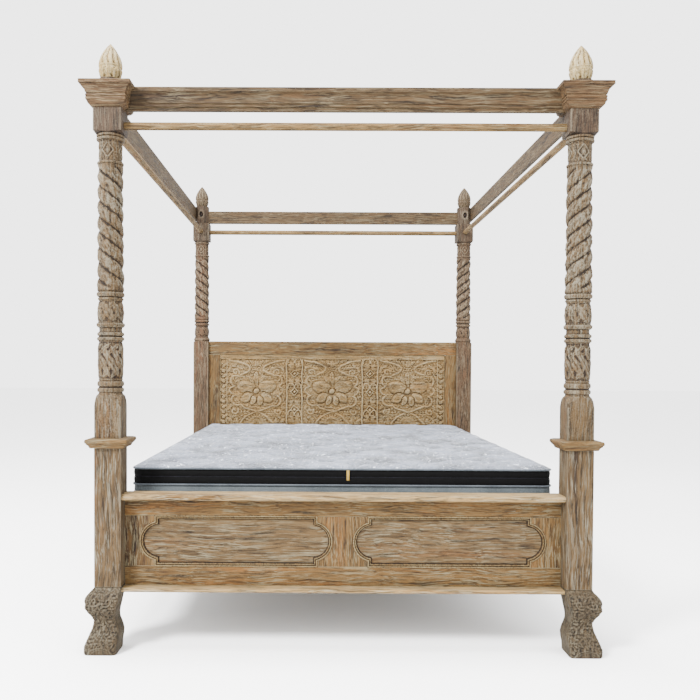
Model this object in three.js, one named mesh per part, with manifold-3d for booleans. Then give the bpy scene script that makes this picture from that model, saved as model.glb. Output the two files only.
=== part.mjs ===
// A full-size carved teak four-poster bed with a queen mattress, in millimetres.
// +Z is up, -Y is the foot end, +Y the headboard end, +X the right side seen from the foot.
// The origin is on the floor, at the centre of the bed's bounding box.
import * as THREE from "three";
import { mergeVertices } from "three/addons/utils/BufferGeometryUtils.js";
import Module from "manifold-3d";

const wasm = await Module();
wasm.setup();

// ---------------------------------------------------------------- driving dimensions
const GAP = 0.3; // clearance between pieces that touch

const MATTRESS = {
  width: 1530,
  length: 2030,
  corner: 40,
  bottom: 367,
  gussetLow: 570,
  gussetTop: 625,
  top: 640,
};

const POST = 92; // square stock of the posts
const POST_X = 817.5; // post centres left and right
const POST_SPACING_Y = 2132; // front post centres to rear post centres
const CAPITAL_HALF = 88;
const FOOT_REACH = 78; // how far the carved feet stand out from the post centre
const FRONT_Y = -(POST_SPACING_Y - CAPITAL_HALF + FOOT_REACH) / 2;
const REAR_Y = FRONT_Y + POST_SPACING_Y;

const FOOT_TOP = 228;
const COLLAR = { bottom: 712, top: 746, half: 73 };
const NECK_BLOCK = { half: 49, bottom: 1795, top: 1884 };
const CAPITAL_TOP = 1966;
const CORE = { half: 42, top: 1988, housing: 34.5 };
const FINIAL = { height: 127, radius: 41 };

const POLE = { radius: 13.5, z: 1832 };
const CANOPY = { bottom: 1885, top: 1961, sideLift: 23, sideX: 852.3 };
const CORNICE = { depth: 36, frontInnerY: FRONT_Y + 12, rearInnerY: REAR_Y - 12 };

const FRAME_WIDTH = 2 * POST_X - POST; // clear width between the posts
const FOOTBOARD = {
  faceY: FRONT_Y + 11,
  thick: 24,
  capTop: 549.5,
  capBottom: 529,
  panelTop: 468,
  panelBottom: 290,
  baseTop: 222,
  baseBottom: 208,
};
const PANEL = { shoulderIn: 91, shoulderOut: 664, arcBulge: 53, arcHalf: 67, recess: 9, backThick: 10 };
const HEAD_RAIL = { bottom: 262, top: 420 };
const HEADBOARD = {
  faceY: REAR_Y - 21,
  thick: 30,
  top: 1152,
  railBottom: 1070,
  panelHalf: 702,
  panelBottom: 635,
  bottom: HEAD_RAIL.top + GAP,
};

const SIDE_RAIL = { inner: 780, outer: 822, bottom: 262, top: 500 };
const CLEAT = { inner: 748, bottom: 306, top: 346 };
const SLAT = { count: 9, width: 100, thick: 20, first: -930, last: 950 };
const BEAM = { half: 25, bottom: 276 };

const TURN_SIDES = 18; // sides of every turned section, a multiple of the three twist strands
const TWIST = { strands: 3, lead: 162, depth: 0.13, steps: 26 };

// ---------------------------------------------------------------- materials
const WOOD = {
  teak: "#96795a",
  teakDark: "#75614c",
  teakPale: "#c6ab88",
  carved: "#a98f6b",
  cream: "#d9c7a0",
};
const FABRIC = { quilt: "#b5b9c4", gusset: "#26262a", border: "#838a8a" };

function material(color, roughness = 0.8) {
  return new THREE.MeshStandardMaterial({ color, roughness, metalness: 0 });
}

const bed = new THREE.Group();

function add(name, geometry, color) {
  const mesh = new THREE.Mesh(geometry, material(color));
  mesh.name = name;
  bed.add(mesh);
  return mesh;
}

// ---------------------------------------------------------------- geometry helpers
function solid(geometry) {
  const bare = geometry.clone();
  bare.deleteAttribute("normal");
  bare.deleteAttribute("uv");
  const merged = mergeVertices(bare, 1e-3);
  const count = merged.attributes.position.count;
  const index = merged.index ? merged.index.array : Array.from({ length: count }, (_, i) => i);
  const mesh = new wasm.Mesh({
    numProp: 3,
    vertProperties: new Float32Array(merged.attributes.position.array),
    triVerts: new Uint32Array(index),
  });
  return new wasm.Manifold(mesh);
}

function geometryOf(manifold) {
  const mesh = manifold.getMesh();
  const stride = mesh.numProp;
  const points = new Float32Array(mesh.numVert * 3);
  for (let i = 0; i < mesh.numVert; i++) {
    points.set(mesh.vertProperties.subarray(i * stride, i * stride + 3), i * 3);
  }
  const geometry = new THREE.BufferGeometry();
  geometry.setAttribute("position", new THREE.BufferAttribute(points, 3));
  geometry.setIndex(new THREE.BufferAttribute(new Uint32Array(mesh.triVerts), 1));
  geometry.computeVertexNormals();
  return geometry;
}

function join(...geometries) {
  const total = geometries.map(solid).reduce((sum, part) => sum.add(part));
  return geometryOf(total);
}

function cut(geometry, ...tools) {
  const rest = tools.map(solid).reduce((left, tool) => left.subtract(tool), solid(geometry));
  return geometryOf(rest);
}

function common(a, b) {
  return geometryOf(solid(a).intersect(solid(b)));
}

// An axis-aligned box between two corners.
function box(x0, x1, y0, y1, z0, z1) {
  const geometry = new THREE.BoxGeometry(x1 - x0, y1 - y0, z1 - z0);
  return geometry.translate((x0 + x1) / 2, (y0 + y1) / 2, (z0 + z1) / 2);
}

// A closed solid through level rings of points, listed from the bottom up, each ring anticlockwise.
function loft(rings) {
  const sides = rings[0].length;
  const points = rings.flat();
  const index = [];
  for (let level = 0; level < rings.length - 1; level++) {
    for (let i = 0; i < sides; i++) {
      const a = level * sides + i;
      const b = level * sides + ((i + 1) % sides);
      index.push(a, b, b + sides, a, b + sides, a + sides);
    }
  }
  const ends = [rings[0], rings[rings.length - 1]];
  ends.forEach((ring, end) => {
    const middle = points.length;
    const start = end * (rings.length - 1) * sides;
    const centre = ring.reduce((sum, p) => sum.add(p), new THREE.Vector3());
    points.push(centre.divideScalar(sides));
    for (let i = 0; i < sides; i++) {
      const a = start + i;
      const b = start + ((i + 1) % sides);
      index.push(...(end ? [middle, a, b] : [middle, b, a]));
    }
  });
  const geometry = new THREE.BufferGeometry().setFromPoints(points);
  geometry.setIndex(index);
  geometry.computeVertexNormals();
  return geometry;
}

// A level ring: half width by angle, as a circle (power 2) up to a square (a large power).
function ring(half, z, { power = 2, cx = 0, cy = 0, sides = TURN_SIDES } = {}) {
  return Array.from({ length: sides }, (_, i) => {
    const angle = (2 * Math.PI * i) / sides;
    const c = Math.cos(angle);
    const s = Math.sin(angle);
    const radius = half / (Math.abs(c) ** power + Math.abs(s) ** power) ** (1 / power);
    return new THREE.Vector3(cx + radius * c, cy + radius * s, z);
  });
}

const squareRing = (half, z, cx = 0, cy = 0) =>
  [[1, 1], [-1, 1], [-1, -1], [1, -1]].map(([x, y]) => new THREE.Vector3(cx + x * half, cy + y * half, z));

// A stack of squares of changing half width, from [half, z] pairs.
const squareStack = (profile) => loft(profile.map(([half, z]) => squareRing(half, z)));

// A shape drawn in X and Z, made `thick` deep along +Y from yFront.
function plate(shape, yFront, thick, curveSegments = 12) {
  const geometry = new THREE.ExtrudeGeometry(shape, { depth: thick, bevelEnabled: false, curveSegments });
  return geometry.rotateX(Math.PI / 2).translate(0, yFront + thick, 0);
}

// A moulding: a section of [out, z] points run along X from x0 to x1, with `out` towards -Y.
function moulding(section, x0, x1) {
  const shape = new THREE.Shape(section.map(([out, z]) => new THREE.Vector2(out, z)));
  const geometry = new THREE.ExtrudeGeometry(shape, { depth: x1 - x0, bevelEnabled: false });
  const turn = new THREE.Matrix4().set(0, 0, -1, x1, -1, 0, 0, 0, 0, 1, 0, 0, 0, 0, 0, 1);
  return geometry.applyMatrix4(turn);
}

const SIDES = [
  ["left", -1],
  ["right", 1],
];

// ---------------------------------------------------------------- turned posts
// Radius of a plain turned section, from [z, radius] pairs.
const circleRings = (profile) => profile.map(([z, radius]) => ring(radius, z));

// Barley-twist rings: three rounded strands that fade into the plain turning at both ends.
// `hand` is +1 on the right of the bed, -1 for the mirrored twist on the left.
function twistRings(z0, z1, r0, r1, hand) {
  return Array.from({ length: TWIST.steps + 1 }, (_, k) => {
    const t = k / TWIST.steps;
    const z = z0 + t * (z1 - z0);
    const radius = r0 + t * (r1 - r0);
    const fade = Math.min(1, 12 * Math.min(t, 1 - t));
    const turn = (2 * Math.PI * (z - z0)) / TWIST.lead;
    return ring(1, z).map((p) => {
      const angle = Math.atan2(p.y, hand * p.x);
      const strand = Math.abs(Math.sin((TWIST.strands * (angle - turn)) / 2));
      const r = radius * (1 - fade * TWIST.depth * (1 - strand ** 0.7));
      return new THREE.Vector3(r * p.x, r * p.y, z);
    });
  });
}

// The turned length from the square block up to the neck block. Each pair is [z, radius].
const FRONT_LOWER_TURNING = [
  [880, 40], [905, 42], [910, 45], [924, 45], [926, 42], [930, 45], [943, 45],
  [948, 40], [1000, 43.5], [1060, 43.5], [1083, 41], [1086, 45.5], [1113, 45.5],
  [1118, 39], [1128, 39], [1132, 46], [1146, 46], [1152, 44], [1180, 45], [1222, 39],
  [1230, 44], [1234, 41], [1239, 47], [1253, 47],
];
const FRONT_TWIST = [1258, 1694, 46.5, 43];
const FRONT_UPPER_TURNING = [
  [1698, 45], [1704, 45], [1710, 41], [1745, 39.5], [1774, 42], [1780, 47.5], [1800, 47.5],
];
const REAR_LOWER_TURNING = [
  [1130, 40], [1154, 46], [1174, 46], [1180, 43], [1215, 44.5], [1246, 40],
  [1250, 46], [1264, 46], [1267, 43], [1271, 46], [1286, 46],
];
const REAR_TWIST = [1290, 1676, 46, 43];
const REAR_UPPER_TURNING = [
  [1680, 45], [1688, 45], [1694, 41], [1725, 39.5], [1752, 42], [1758, 47], [1772, 47],
];

function turnedShaft(lower, twist, upper, hand) {
  return loft([...circleRings(lower), ...twistRings(...twist, hand), ...circleRings(upper)]);
}

// Square stock whose top edge is rounded down to the turning.
function shoulderedBlock(z0, z1, shoulder) {
  const half = POST / 2;
  const square = box(-half, half, -half, half, z0, z1);
  const corner = half * Math.SQRT2 + 1;
  const turned = loft(
    [[z0, corner], [z1 - shoulder, corner], [z1 - shoulder * 0.45, corner * 0.93], [z1, half * 0.97]]
      .map(([z, radius]) => ring(radius, z, { sides: 24 })),
  );
  return common(square, turned);
}

// The eight-sided core on top of a post, with a flat housing on its outer side for the side rail.
function postCore(side) {
  const z0 = NECK_BLOCK.top - 10;
  const radius = CORE.half / Math.cos(Math.PI / 8);
  const octagon = new THREE.CylinderGeometry(radius, radius, CORE.top - z0, 8)
    .rotateX(Math.PI / 2)
    .rotateZ(Math.PI / 8)
    .translate(0, 0, (CORE.top + z0) / 2);
  const reach = CORE.half + 5;
  const inner = side > 0 ? CORE.housing : -reach;
  const outer = side > 0 ? reach : -CORE.housing;
  return cut(octagon, box(inner, outer, -reach, reach, NECK_BLOCK.top, CORE.top + 5));
}

function neckBlock(bottom) {
  const half = NECK_BLOCK.half;
  return squareStack([[half - 4, bottom], [half, bottom + 5], [half, NECK_BLOCK.top]]);
}

for (const [label, side] of SIDES) {
  const half = POST / 2;
  add(
    `lower_post_front_${label}`,
    box(-half, half, -half, half, FOOT_TOP + GAP, COLLAR.bottom - GAP),
    WOOD.teak,
  ).position.set(side * POST_X, FRONT_Y, 0);
  add(
    `upper_post_front_${label}`,
    join(
      shoulderedBlock(COLLAR.top + GAP, 899, 46),
      turnedShaft(FRONT_LOWER_TURNING, FRONT_TWIST, FRONT_UPPER_TURNING, side),
      neckBlock(NECK_BLOCK.bottom),
      postCore(side),
    ),
    WOOD.teak,
  ).position.set(side * POST_X, FRONT_Y, 0);
  add(
    `rear_post_${label}`,
    join(
      shoulderedBlock(FOOT_TOP + GAP, 1153, 14),
      turnedShaft(REAR_LOWER_TURNING, REAR_TWIST, REAR_UPPER_TURNING, side),
      neckBlock(1766),
      postCore(side),
    ),
    WOOD.teakDark,
  ).position.set(side * POST_X, REAR_Y, 0);
}

// ---------------------------------------------------------------- feet
// Each level is [z, inner face, outer face], measured from the post centre and the same in X and Y.
const FOOT_LEVELS = [
  [0, -36, 75],
  [6, -37, FOOT_REACH],
  [28, -38, 77],
  [63, -42, 64],
  [98, -33, 50],
  [114, -29, 49],
  [142, -30, 66],
  [177, -38, 75],
  [203, -43, 69],
  [216, -46, 55],
  [FOOT_TOP, -46, 46],
];

function foot(side, end) {
  const rings = FOOT_LEVELS.map(([z, inner, outer]) => {
    const centre = (inner + outer) / 2;
    const half = (outer - inner) / 2;
    const power = z > 210 ? 40 : 7;
    return ring(half, z, { power, cx: side * centre, cy: end * centre, sides: 16 });
  });
  return loft(rings);
}

const ENDS = [
  ["front", -1, FRONT_Y],
  ["rear", 1, REAR_Y],
];
for (const [place, end, y] of ENDS) {
  for (const [label, side] of SIDES) {
    add(`foot_${place}_${label}`, foot(side, end), WOOD.teakDark).position.set(side * POST_X, y, 0);
  }
}

// ---------------------------------------------------------------- collars, capitals and finials
const COLLAR_PROFILE = [
  [58, COLLAR.bottom],
  [68, COLLAR.bottom + 3],
  [COLLAR.half, COLLAR.bottom + 11],
  [COLLAR.half, COLLAR.top - 11],
  [68, COLLAR.top - 3],
  [58, COLLAR.top],
];
const CAPITAL_PROFILE = [
  [50, NECK_BLOCK.top + GAP],
  [56, NECK_BLOCK.top + 3],
  [64, NECK_BLOCK.top + 11],
  [67, NECK_BLOCK.top + 20],
  [69, NECK_BLOCK.top + 20.5],
  [69, 1921],
  [66, 1922],
  [66, 1927],
  [70, 1928],
  [72, 1938],
  [78, 1949],
  [85, 1954],
  [CAPITAL_HALF, 1955],
  [CAPITAL_HALF, CAPITAL_TOP],
];

// The sections of the canopy rails: [out from the flat inner face, height above the bottom].
const CORNICE_SECTION = [
  [0, 0], [15, 0], [15, 12], [21, 13], [21, 23], [26, 24], [26, 28], [23, 29],
  [23, 49], [27, 55], [34, 60], [CORNICE.depth, 62], [CORNICE.depth, 76], [0, 76],
];
const REAR_STRIP = [[0, 31], [-4, 30], [-4, 1]];

const sectionAt = (section, out, z) => section.map(([o, h]) => [o + out, h + z]);

// The run of a side rail: its front and rear ends.
const SIDE_CANOPY = { y0: FRONT_Y - 30, y1: REAR_Y + CORE.half };

// A side canopy rail, its flat face inwards and its mouldings outwards, `extra` longer at each end.
function sideCornice(side, extra = 0) {
  const section = sectionAt(CORNICE_SECTION, CANOPY.sideX, CANOPY.bottom + CANOPY.sideLift);
  const run = moulding(section, SIDE_CANOPY.y0 - extra, SIDE_CANOPY.y1 + extra);
  const turned = run.rotateZ(Math.PI / 2); // now the run lies along Y
  return side > 0 ? turned : mirrorX(turned);
}

function mirrorX(geometry) {
  const flipped = geometry.clone().scale(-1, 1, 1);
  const bare = flipped.index ? flipped.toNonIndexed() : flipped;
  const p = bare.attributes.position;
  for (let i = 0; i < p.count; i += 3) {
    const [x, y, z] = [p.getX(i), p.getY(i), p.getZ(i)];
    p.setXYZ(i, p.getX(i + 1), p.getY(i + 1), p.getZ(i + 1));
    p.setXYZ(i + 1, x, y, z);
  }
  bare.computeVertexNormals();
  return bare;
}

function frontCornice(x0, x1) {
  return moulding(CORNICE_SECTION, x0, x1).translate(0, CORNICE.frontInnerY, CANOPY.bottom);
}

// Copies of a rail moved a little each way across its run, to cut a slot that clears it.
function clearing(geometry, alongX) {
  const step = GAP + 0.1;
  return [[1, 1], [1, -1], [-1, 1], [-1, -1]].map(([a, b]) =>
    geometry.clone().translate(alongX ? 0 : a * step, alongX ? a * step : 0, b * step),
  );
}

function capital(side) {
  const radius = (CORE.half + GAP) / Math.cos(Math.PI / 8);
  const hole = new THREE.CylinderGeometry(radius, radius, 200, 8).rotateX(Math.PI / 2).rotateZ(Math.PI / 8);
  const frontRail = frontCornice(side > 0 ? 0 : -POST_X, side > 0 ? POST_X : 0);
  const slots = [...clearing(frontRail, true), ...clearing(sideCornice(side, GAP + 0.1), false)];
  slots.forEach((slot) => slot.translate(-side * POST_X, -FRONT_Y, 0));
  return cut(squareStack(CAPITAL_PROFILE), hole.translate(0, 0, CAPITAL_TOP), ...slots);
}

const FINIAL_PROFILE = [
  [0, 30], [5, 33], [18, 37], [33, 40.5], [37, 39], [42, 39], [46, FINIAL.radius],
  [60, 40], [78, 35], [95, 26.5], [110, 16], [121, 6.5], [FINIAL.height, 1.5],
];

for (const [label, side] of SIDES) {
  const collar = add(`collar_front_${label}`, squareStack(COLLAR_PROFILE), WOOD.teak);
  collar.position.set(side * POST_X, FRONT_Y, 0);
  const top = add(`capital_front_${label}`, capital(side), WOOD.teakDark);
  top.position.set(side * POST_X, FRONT_Y, 0);
}
for (const [place, , y] of ENDS) {
  for (const [label, side] of SIDES) {
    const finial = add(`finial_${place}_${label}`, loft(circleRings(FINIAL_PROFILE)), WOOD.cream);
    finial.position.set(side * POST_X, y, CORE.top + GAP);
  }
}

// ---------------------------------------------------------------- canopy rails and curtain poles
const coreFlat = POST_X - CORE.half - GAP;
add("canopy_rail_front", frontCornice(-coreFlat, coreFlat), WOOD.teak);
const rearCornice = moulding([...CORNICE_SECTION, ...REAR_STRIP], -coreFlat, coreFlat);
rearCornice.rotateZ(Math.PI).translate(0, CORNICE.rearInnerY, CANOPY.bottom);
add("canopy_rail_rear", rearCornice, WOOD.teak);
for (const [label, side] of SIDES) {
  add(`canopy_rail_${label}`, sideCornice(side), WOOD.teak);
}

function pole(length) {
  return new THREE.CylinderGeometry(POLE.radius, POLE.radius, length, 12);
}

const crossPole = 2 * (POST_X - NECK_BLOCK.half - GAP);
for (const [place, , y] of ENDS) {
  const crossways = add(`curtain_pole_${place}`, pole(crossPole).rotateZ(Math.PI / 2), WOOD.teak);
  crossways.position.set(0, y, POLE.z);
}
const sidePole = POST_SPACING_Y - 2 * (NECK_BLOCK.half + GAP);
for (const [label, side] of SIDES) {
  const lengthways = add(`curtain_pole_${label}`, pole(sidePole), WOOD.teak);
  lengthways.position.set(side * POST_X, (FRONT_Y + REAR_Y) / 2, POLE.z);
}

// ---------------------------------------------------------------- footboard
const halfFrame = FRAME_WIDTH / 2 - GAP;
const ledgeBack = FRONT_Y + POST / 2 - GAP;

// A ledge with a rounded front edge: [out from its back edge, z].
function ledge(bottom, top, front) {
  const depth = ledgeBack - front;
  const middle = (bottom + top) / 2;
  const rise = (top - bottom) / 2;
  const nose = [-90, -55, -20, 20, 55, 90].map((degrees) => {
    const angle = THREE.MathUtils.degToRad(degrees);
    return [depth - rise * 0.6 * (1 - Math.cos(angle)), middle + rise * Math.sin(angle)];
  });
  return moulding([[0, bottom], ...nose, [0, top]], -halfFrame, halfFrame).translate(0, ledgeBack, 0);
}

add("footboard_cap", ledge(FOOTBOARD.capBottom, FOOTBOARD.capTop, FRONT_Y - 38), WOOD.teakPale);
add("footboard_base_moulding", ledge(FOOTBOARD.baseBottom, FOOTBOARD.baseTop, FRONT_Y - 37), WOOD.teakPale);

const footFront = FOOTBOARD.faceY;
const footBack = footFront + FOOTBOARD.thick;
const footRail = (z0, z1) => box(-halfFrame, halfFrame, footFront, footBack, z0, z1);
add("footboard_top_rail", footRail(FOOTBOARD.panelTop, FOOTBOARD.capBottom - GAP), WOOD.teak);
add("footboard_bottom_rail", footRail(FOOTBOARD.baseTop + GAP, FOOTBOARD.panelBottom), WOOD.teak);

const panelMiddle = (FOOTBOARD.panelTop + FOOTBOARD.panelBottom) / 2;
const arcRadius = (PANEL.arcHalf ** 2 + PANEL.arcBulge ** 2) / (2 * PANEL.arcBulge);
const arcHalfAngle = Math.asin(PANEL.arcHalf / arcRadius);

// Points of a panel's round end, from its top shoulder to its bottom shoulder.
// `way` is +1 where the end bulges towards +X.
function endArc(shoulderX, way, inset) {
  const centreX = shoulderX + way * (PANEL.arcBulge - arcRadius);
  const radius = arcRadius - inset;
  return Array.from({ length: 13 }, (_, i) => {
    const angle = arcHalfAngle * (1 - i / 6);
    const out = way * radius * Math.cos(angle);
    return new THREE.Vector2(centreX + out, panelMiddle + radius * Math.sin(angle));
  });
}

const stileTop = FOOTBOARD.panelTop - GAP;
const stileBottom = FOOTBOARD.panelBottom + GAP;

function endStile() {
  const shape = new THREE.Shape([
    new THREE.Vector2(halfFrame, stileBottom),
    new THREE.Vector2(halfFrame, stileTop),
    new THREE.Vector2(PANEL.shoulderOut, stileTop),
    ...endArc(PANEL.shoulderOut, 1, 0),
    new THREE.Vector2(PANEL.shoulderOut, stileBottom),
  ]);
  return plate(shape, footFront, FOOTBOARD.thick);
}

function centreStile() {
  const right = endArc(PANEL.shoulderIn, -1, 0);
  const left = right.map((p) => new THREE.Vector2(-p.x, p.y)).reverse();
  const shape = new THREE.Shape([
    new THREE.Vector2(-PANEL.shoulderIn, stileBottom),
    ...left,
    new THREE.Vector2(-PANEL.shoulderIn, stileTop),
    new THREE.Vector2(PANEL.shoulderIn, stileTop),
    ...right,
    new THREE.Vector2(PANEL.shoulderIn, stileBottom),
  ]);
  return plate(shape, footFront, FOOTBOARD.thick);
}

// A panel: a raised field that fills the opening, on a wider back plate.
function footPanel() {
  const clear = 2 * GAP;
  const field = new THREE.Shape([
    new THREE.Vector2(PANEL.shoulderIn + clear, stileTop - clear),
    ...endArc(PANEL.shoulderIn, -1, clear),
    new THREE.Vector2(PANEL.shoulderIn + clear, stileBottom + clear),
    new THREE.Vector2(PANEL.shoulderOut - clear, stileBottom + clear),
    ...endArc(PANEL.shoulderOut, 1, clear).reverse(),
    new THREE.Vector2(PANEL.shoulderOut - clear, stileTop - clear),
  ]);
  const backY = footBack + GAP;
  const margin = 12;
  return join(
    plate(field, footFront + PANEL.recess, FOOTBOARD.thick - PANEL.recess + 2),
    box(
      PANEL.shoulderIn - PANEL.arcBulge - margin, PANEL.shoulderOut + PANEL.arcBulge + margin,
      backY, backY + PANEL.backThick,
      FOOTBOARD.panelBottom - margin, FOOTBOARD.panelTop + margin,
    ),
  );
}

add("footboard_centre_stile", centreStile(), WOOD.teak);
for (const [label, side] of SIDES) {
  const onSide = (geometry) => (side > 0 ? geometry : mirrorX(geometry));
  add(`footboard_stile_${label}`, onSide(endStile()), WOOD.teak);
  add(`footboard_panel_${label}`, onSide(footPanel()), WOOD.teak);
}

// ---------------------------------------------------------------- headboard
const headFront = HEADBOARD.faceY;
const headBack = headFront + HEADBOARD.thick;
const headBoard = (x0, x1, z0, z1) => box(x0, x1, headFront, headBack, z0, z1);
const panelTop = HEADBOARD.railBottom - GAP;
add("headboard_top_rail", headBoard(-halfFrame, halfFrame, HEADBOARD.railBottom, HEADBOARD.top), WOOD.teak);
for (const [label, side] of SIDES) {
  const span = [side * (HEADBOARD.panelHalf + GAP), side * halfFrame].sort((a, b) => a - b);
  add(`headboard_stile_${label}`, headBoard(...span, HEADBOARD.bottom, panelTop), WOOD.teak);
}
const lowRail = headBoard(
  -HEADBOARD.panelHalf,
  HEADBOARD.panelHalf,
  HEADBOARD.bottom,
  HEADBOARD.panelBottom - GAP,
);
add("headboard_bottom_rail", lowRail, WOOD.teak);
add(
  "headboard_panel",
  box(
    -HEADBOARD.panelHalf + GAP, HEADBOARD.panelHalf - GAP,
    headFront + 4, headBack - 6,
    HEADBOARD.panelBottom, panelTop,
  ),
  WOOD.carved,
);
add("head_end_rail", headBoard(-halfFrame, halfFrame, HEAD_RAIL.bottom, HEAD_RAIL.top), WOOD.teak);

// ---------------------------------------------------------------- bed frame and slats
const railY = [FRONT_Y + POST / 2 + GAP, REAR_Y - POST / 2 - GAP];
const cleatY = [railY[0] + 20, railY[1] - 20];
for (const [label, side] of SIDES) {
  const across = (a, b) => [side * a, side * b].sort((p, q) => p - q);
  add(
    `side_rail_${label}`,
    box(...across(SIDE_RAIL.inner, SIDE_RAIL.outer), ...railY, SIDE_RAIL.bottom, SIDE_RAIL.top),
    WOOD.teak,
  );
  add(
    `slat_cleat_${label}`,
    box(...across(CLEAT.inner, SIDE_RAIL.inner - GAP), ...cleatY, CLEAT.bottom, CLEAT.top),
    WOOD.teakPale,
  );
}
const beamY = [railY[0] + 12, HEADBOARD.faceY - GAP];
add("centre_beam", box(-BEAM.half, BEAM.half, ...beamY, BEAM.bottom, CLEAT.top), WOOD.teakPale);
add("centre_leg", squareStack([[22, 0], [25, 4], [25, BEAM.bottom - GAP]]), WOOD.teakPale);
const slatReach = SIDE_RAIL.inner - 3;
const slatBottom = CLEAT.top + GAP;
for (let i = 0; i < SLAT.count; i++) {
  const y = SLAT.first + (i * (SLAT.last - SLAT.first)) / (SLAT.count - 1);
  const edges = [y - SLAT.width / 2, y + SLAT.width / 2];
  const slat = box(-slatReach, slatReach, ...edges, slatBottom, slatBottom + SLAT.thick);
  add(`slat_${i + 1}`, slat, WOOD.teakPale);
}

// ---------------------------------------------------------------- mattress
// A level outline with round corners, pulled in by `inset` all round.
function mattressRing(z, inset) {
  const hx = MATTRESS.width / 2 - inset;
  const hy = MATTRESS.length / 2 - inset;
  const radius = MATTRESS.corner - inset;
  const steps = 5;
  const points = [];
  [[1, 1], [-1, 1], [-1, -1], [1, -1]].forEach(([sx, sy], corner) => {
    for (let i = 0; i <= steps; i++) {
      const angle = (Math.PI / 2) * (corner + i / steps);
      const x = sx * (hx - radius) + radius * Math.cos(angle);
      const y = sy * (hy - radius) + radius * Math.sin(angle);
      points.push(new THREE.Vector3(x, y, z));
    }
  });
  return points;
}

// The mattress starts just behind the post collars, so that it lifts out past them.
const mattressY = FRONT_Y + COLLAR.half + 2 + MATTRESS.length / 2;
function mattressPart(name, levels, color) {
  add(name, loft(levels.map(([z, inset]) => mattressRing(z, inset))), color).position.set(0, mattressY, 0);
}
const { bottom, gussetLow, gussetTop, top } = MATTRESS;
mattressPart(
  "mattress_base",
  [[bottom, 10], [bottom + 12, 1], [gussetLow - 12, 0], [gussetLow - GAP, 6]],
  FABRIC.border,
);
mattressPart("mattress_gusset", [[gussetLow, 6], [gussetTop - GAP, 6]], FABRIC.gusset);
mattressPart("mattress_top", [[gussetTop, 3], [top - 5, 2], [top, 12]], FABRIC.quilt);

export default bed;
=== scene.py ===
"""The looks of a carved, lime-washed teak four-poster bed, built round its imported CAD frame.

Shapes are worked out in millimetres in the shared frame (+X right seen from the foot end, +Y to the
headboard, +Z up) and turned into metres when a mesh is made.
"""
import math

import bpy
import numpy as np
from mathutils import Matrix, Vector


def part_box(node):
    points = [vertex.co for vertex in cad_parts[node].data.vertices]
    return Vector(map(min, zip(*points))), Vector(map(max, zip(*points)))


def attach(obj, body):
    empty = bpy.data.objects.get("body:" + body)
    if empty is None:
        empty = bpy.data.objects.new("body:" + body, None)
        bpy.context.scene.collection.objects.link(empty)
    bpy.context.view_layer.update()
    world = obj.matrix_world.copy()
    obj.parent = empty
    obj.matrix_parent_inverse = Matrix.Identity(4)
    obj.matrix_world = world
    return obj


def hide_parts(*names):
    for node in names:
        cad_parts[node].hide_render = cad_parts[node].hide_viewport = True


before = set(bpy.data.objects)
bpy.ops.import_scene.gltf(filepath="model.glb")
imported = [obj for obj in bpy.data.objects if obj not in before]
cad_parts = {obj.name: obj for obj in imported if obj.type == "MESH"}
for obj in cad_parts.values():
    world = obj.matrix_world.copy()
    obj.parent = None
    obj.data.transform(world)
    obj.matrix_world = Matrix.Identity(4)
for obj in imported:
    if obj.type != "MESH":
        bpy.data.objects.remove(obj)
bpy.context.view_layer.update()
MM = 0.001

SIDES = (("left", -1), ("right", 1))
ENDS = (("front", -1), ("rear", 1))


def corners(node):
    """The lowest and highest corner of a CAD node, in millimetres."""
    low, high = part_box(node)
    return np.array(low) / MM, np.array(high) / MM


def axis_of(node):
    """The X and Y of the upright line through the middle of a node."""
    low, high = corners(node)
    return (low + high)[:2] / 2


POST_AXIS = {
    (end, side): axis_of(f"{node}_{side}")
    for end, node in (("front", "lower_post_front"), ("rear", "rear_post"))
    for side, _ in SIDES
}


# ------------------------------------------------------------------ numbers
def smoothstep(x, low, high):
    """A smooth step from 0 at `low` to 1 at `high`."""
    t = np.clip((x - low) / (high - low), 0, 1)
    return t * t * (3 - 2 * t)


def window(z, low, high, fade):
    """1 between low and high, falling to 0 over the last `fade` at each end."""
    return smoothstep(z, low, low + fade) * (1 - smoothstep(z, high - fade, high))


def short_way(offset, around):
    """An offset measured the short way round a pattern that repeats every `around`."""
    return (offset + around / 2) % around - around / 2


def turned_by(angle, u, v):
    """u and v measured along and across a direction."""
    c, s = math.cos(angle), math.sin(angle)
    return u * c + v * s, v * c - u * s


def dome(distance, reach):
    """1 in the middle, 0 at `reach` away, rounded like a half circle."""
    return np.sqrt(np.clip(1 - (distance / reach) ** 2, 0, 1))


def profile(z, pairs, blur=0.0):
    """Radius at height z through [z, radius] pairs, with its corners softened over `blur` mm."""
    heights, radii = np.array(pairs, float).T
    if not blur:
        return np.interp(z, heights, radii)
    shifts = np.linspace(-blur, blur, 9)
    weights = np.cos(shifts / blur * math.pi / 2) ** 2 + 0.02
    return sum(w * np.interp(z + s, heights, radii) for s, w in zip(shifts, weights)) / weights.sum()


def beads(z, rows):
    """Half-round rings: the height added at z by [low, high, height] rows."""
    total = np.zeros_like(z)
    for low, high, height in rows:
        total += height * dome(z - (low + high) / 2, (high - low) / 2)
    return total


NOISE_TABLE = np.random.default_rng(7).random((32, 32, 32))


def noise(points, cell):
    """Smooth value noise from 0 to 1 at an array of points, with features of about `cell` mm."""
    p = points / cell
    base = np.floor(p).astype(int)
    f = p - base
    f = f * f * (3 - 2 * f)
    total = np.zeros(points.shape[:-1])
    for dx in (0, 1):
        for dy in (0, 1):
            for dz in (0, 1):
                i, j, k = (np.moveaxis(base, -1, 0) + np.array([dx, dy, dz]).reshape(3, *[1] * total.ndim)) % 32
                weight = np.prod([f[..., a] if d else 1 - f[..., a] for a, d in enumerate((dx, dy, dz))], axis=0)
                total += NOISE_TABLE[i, j, k] * weight
    return total


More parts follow.
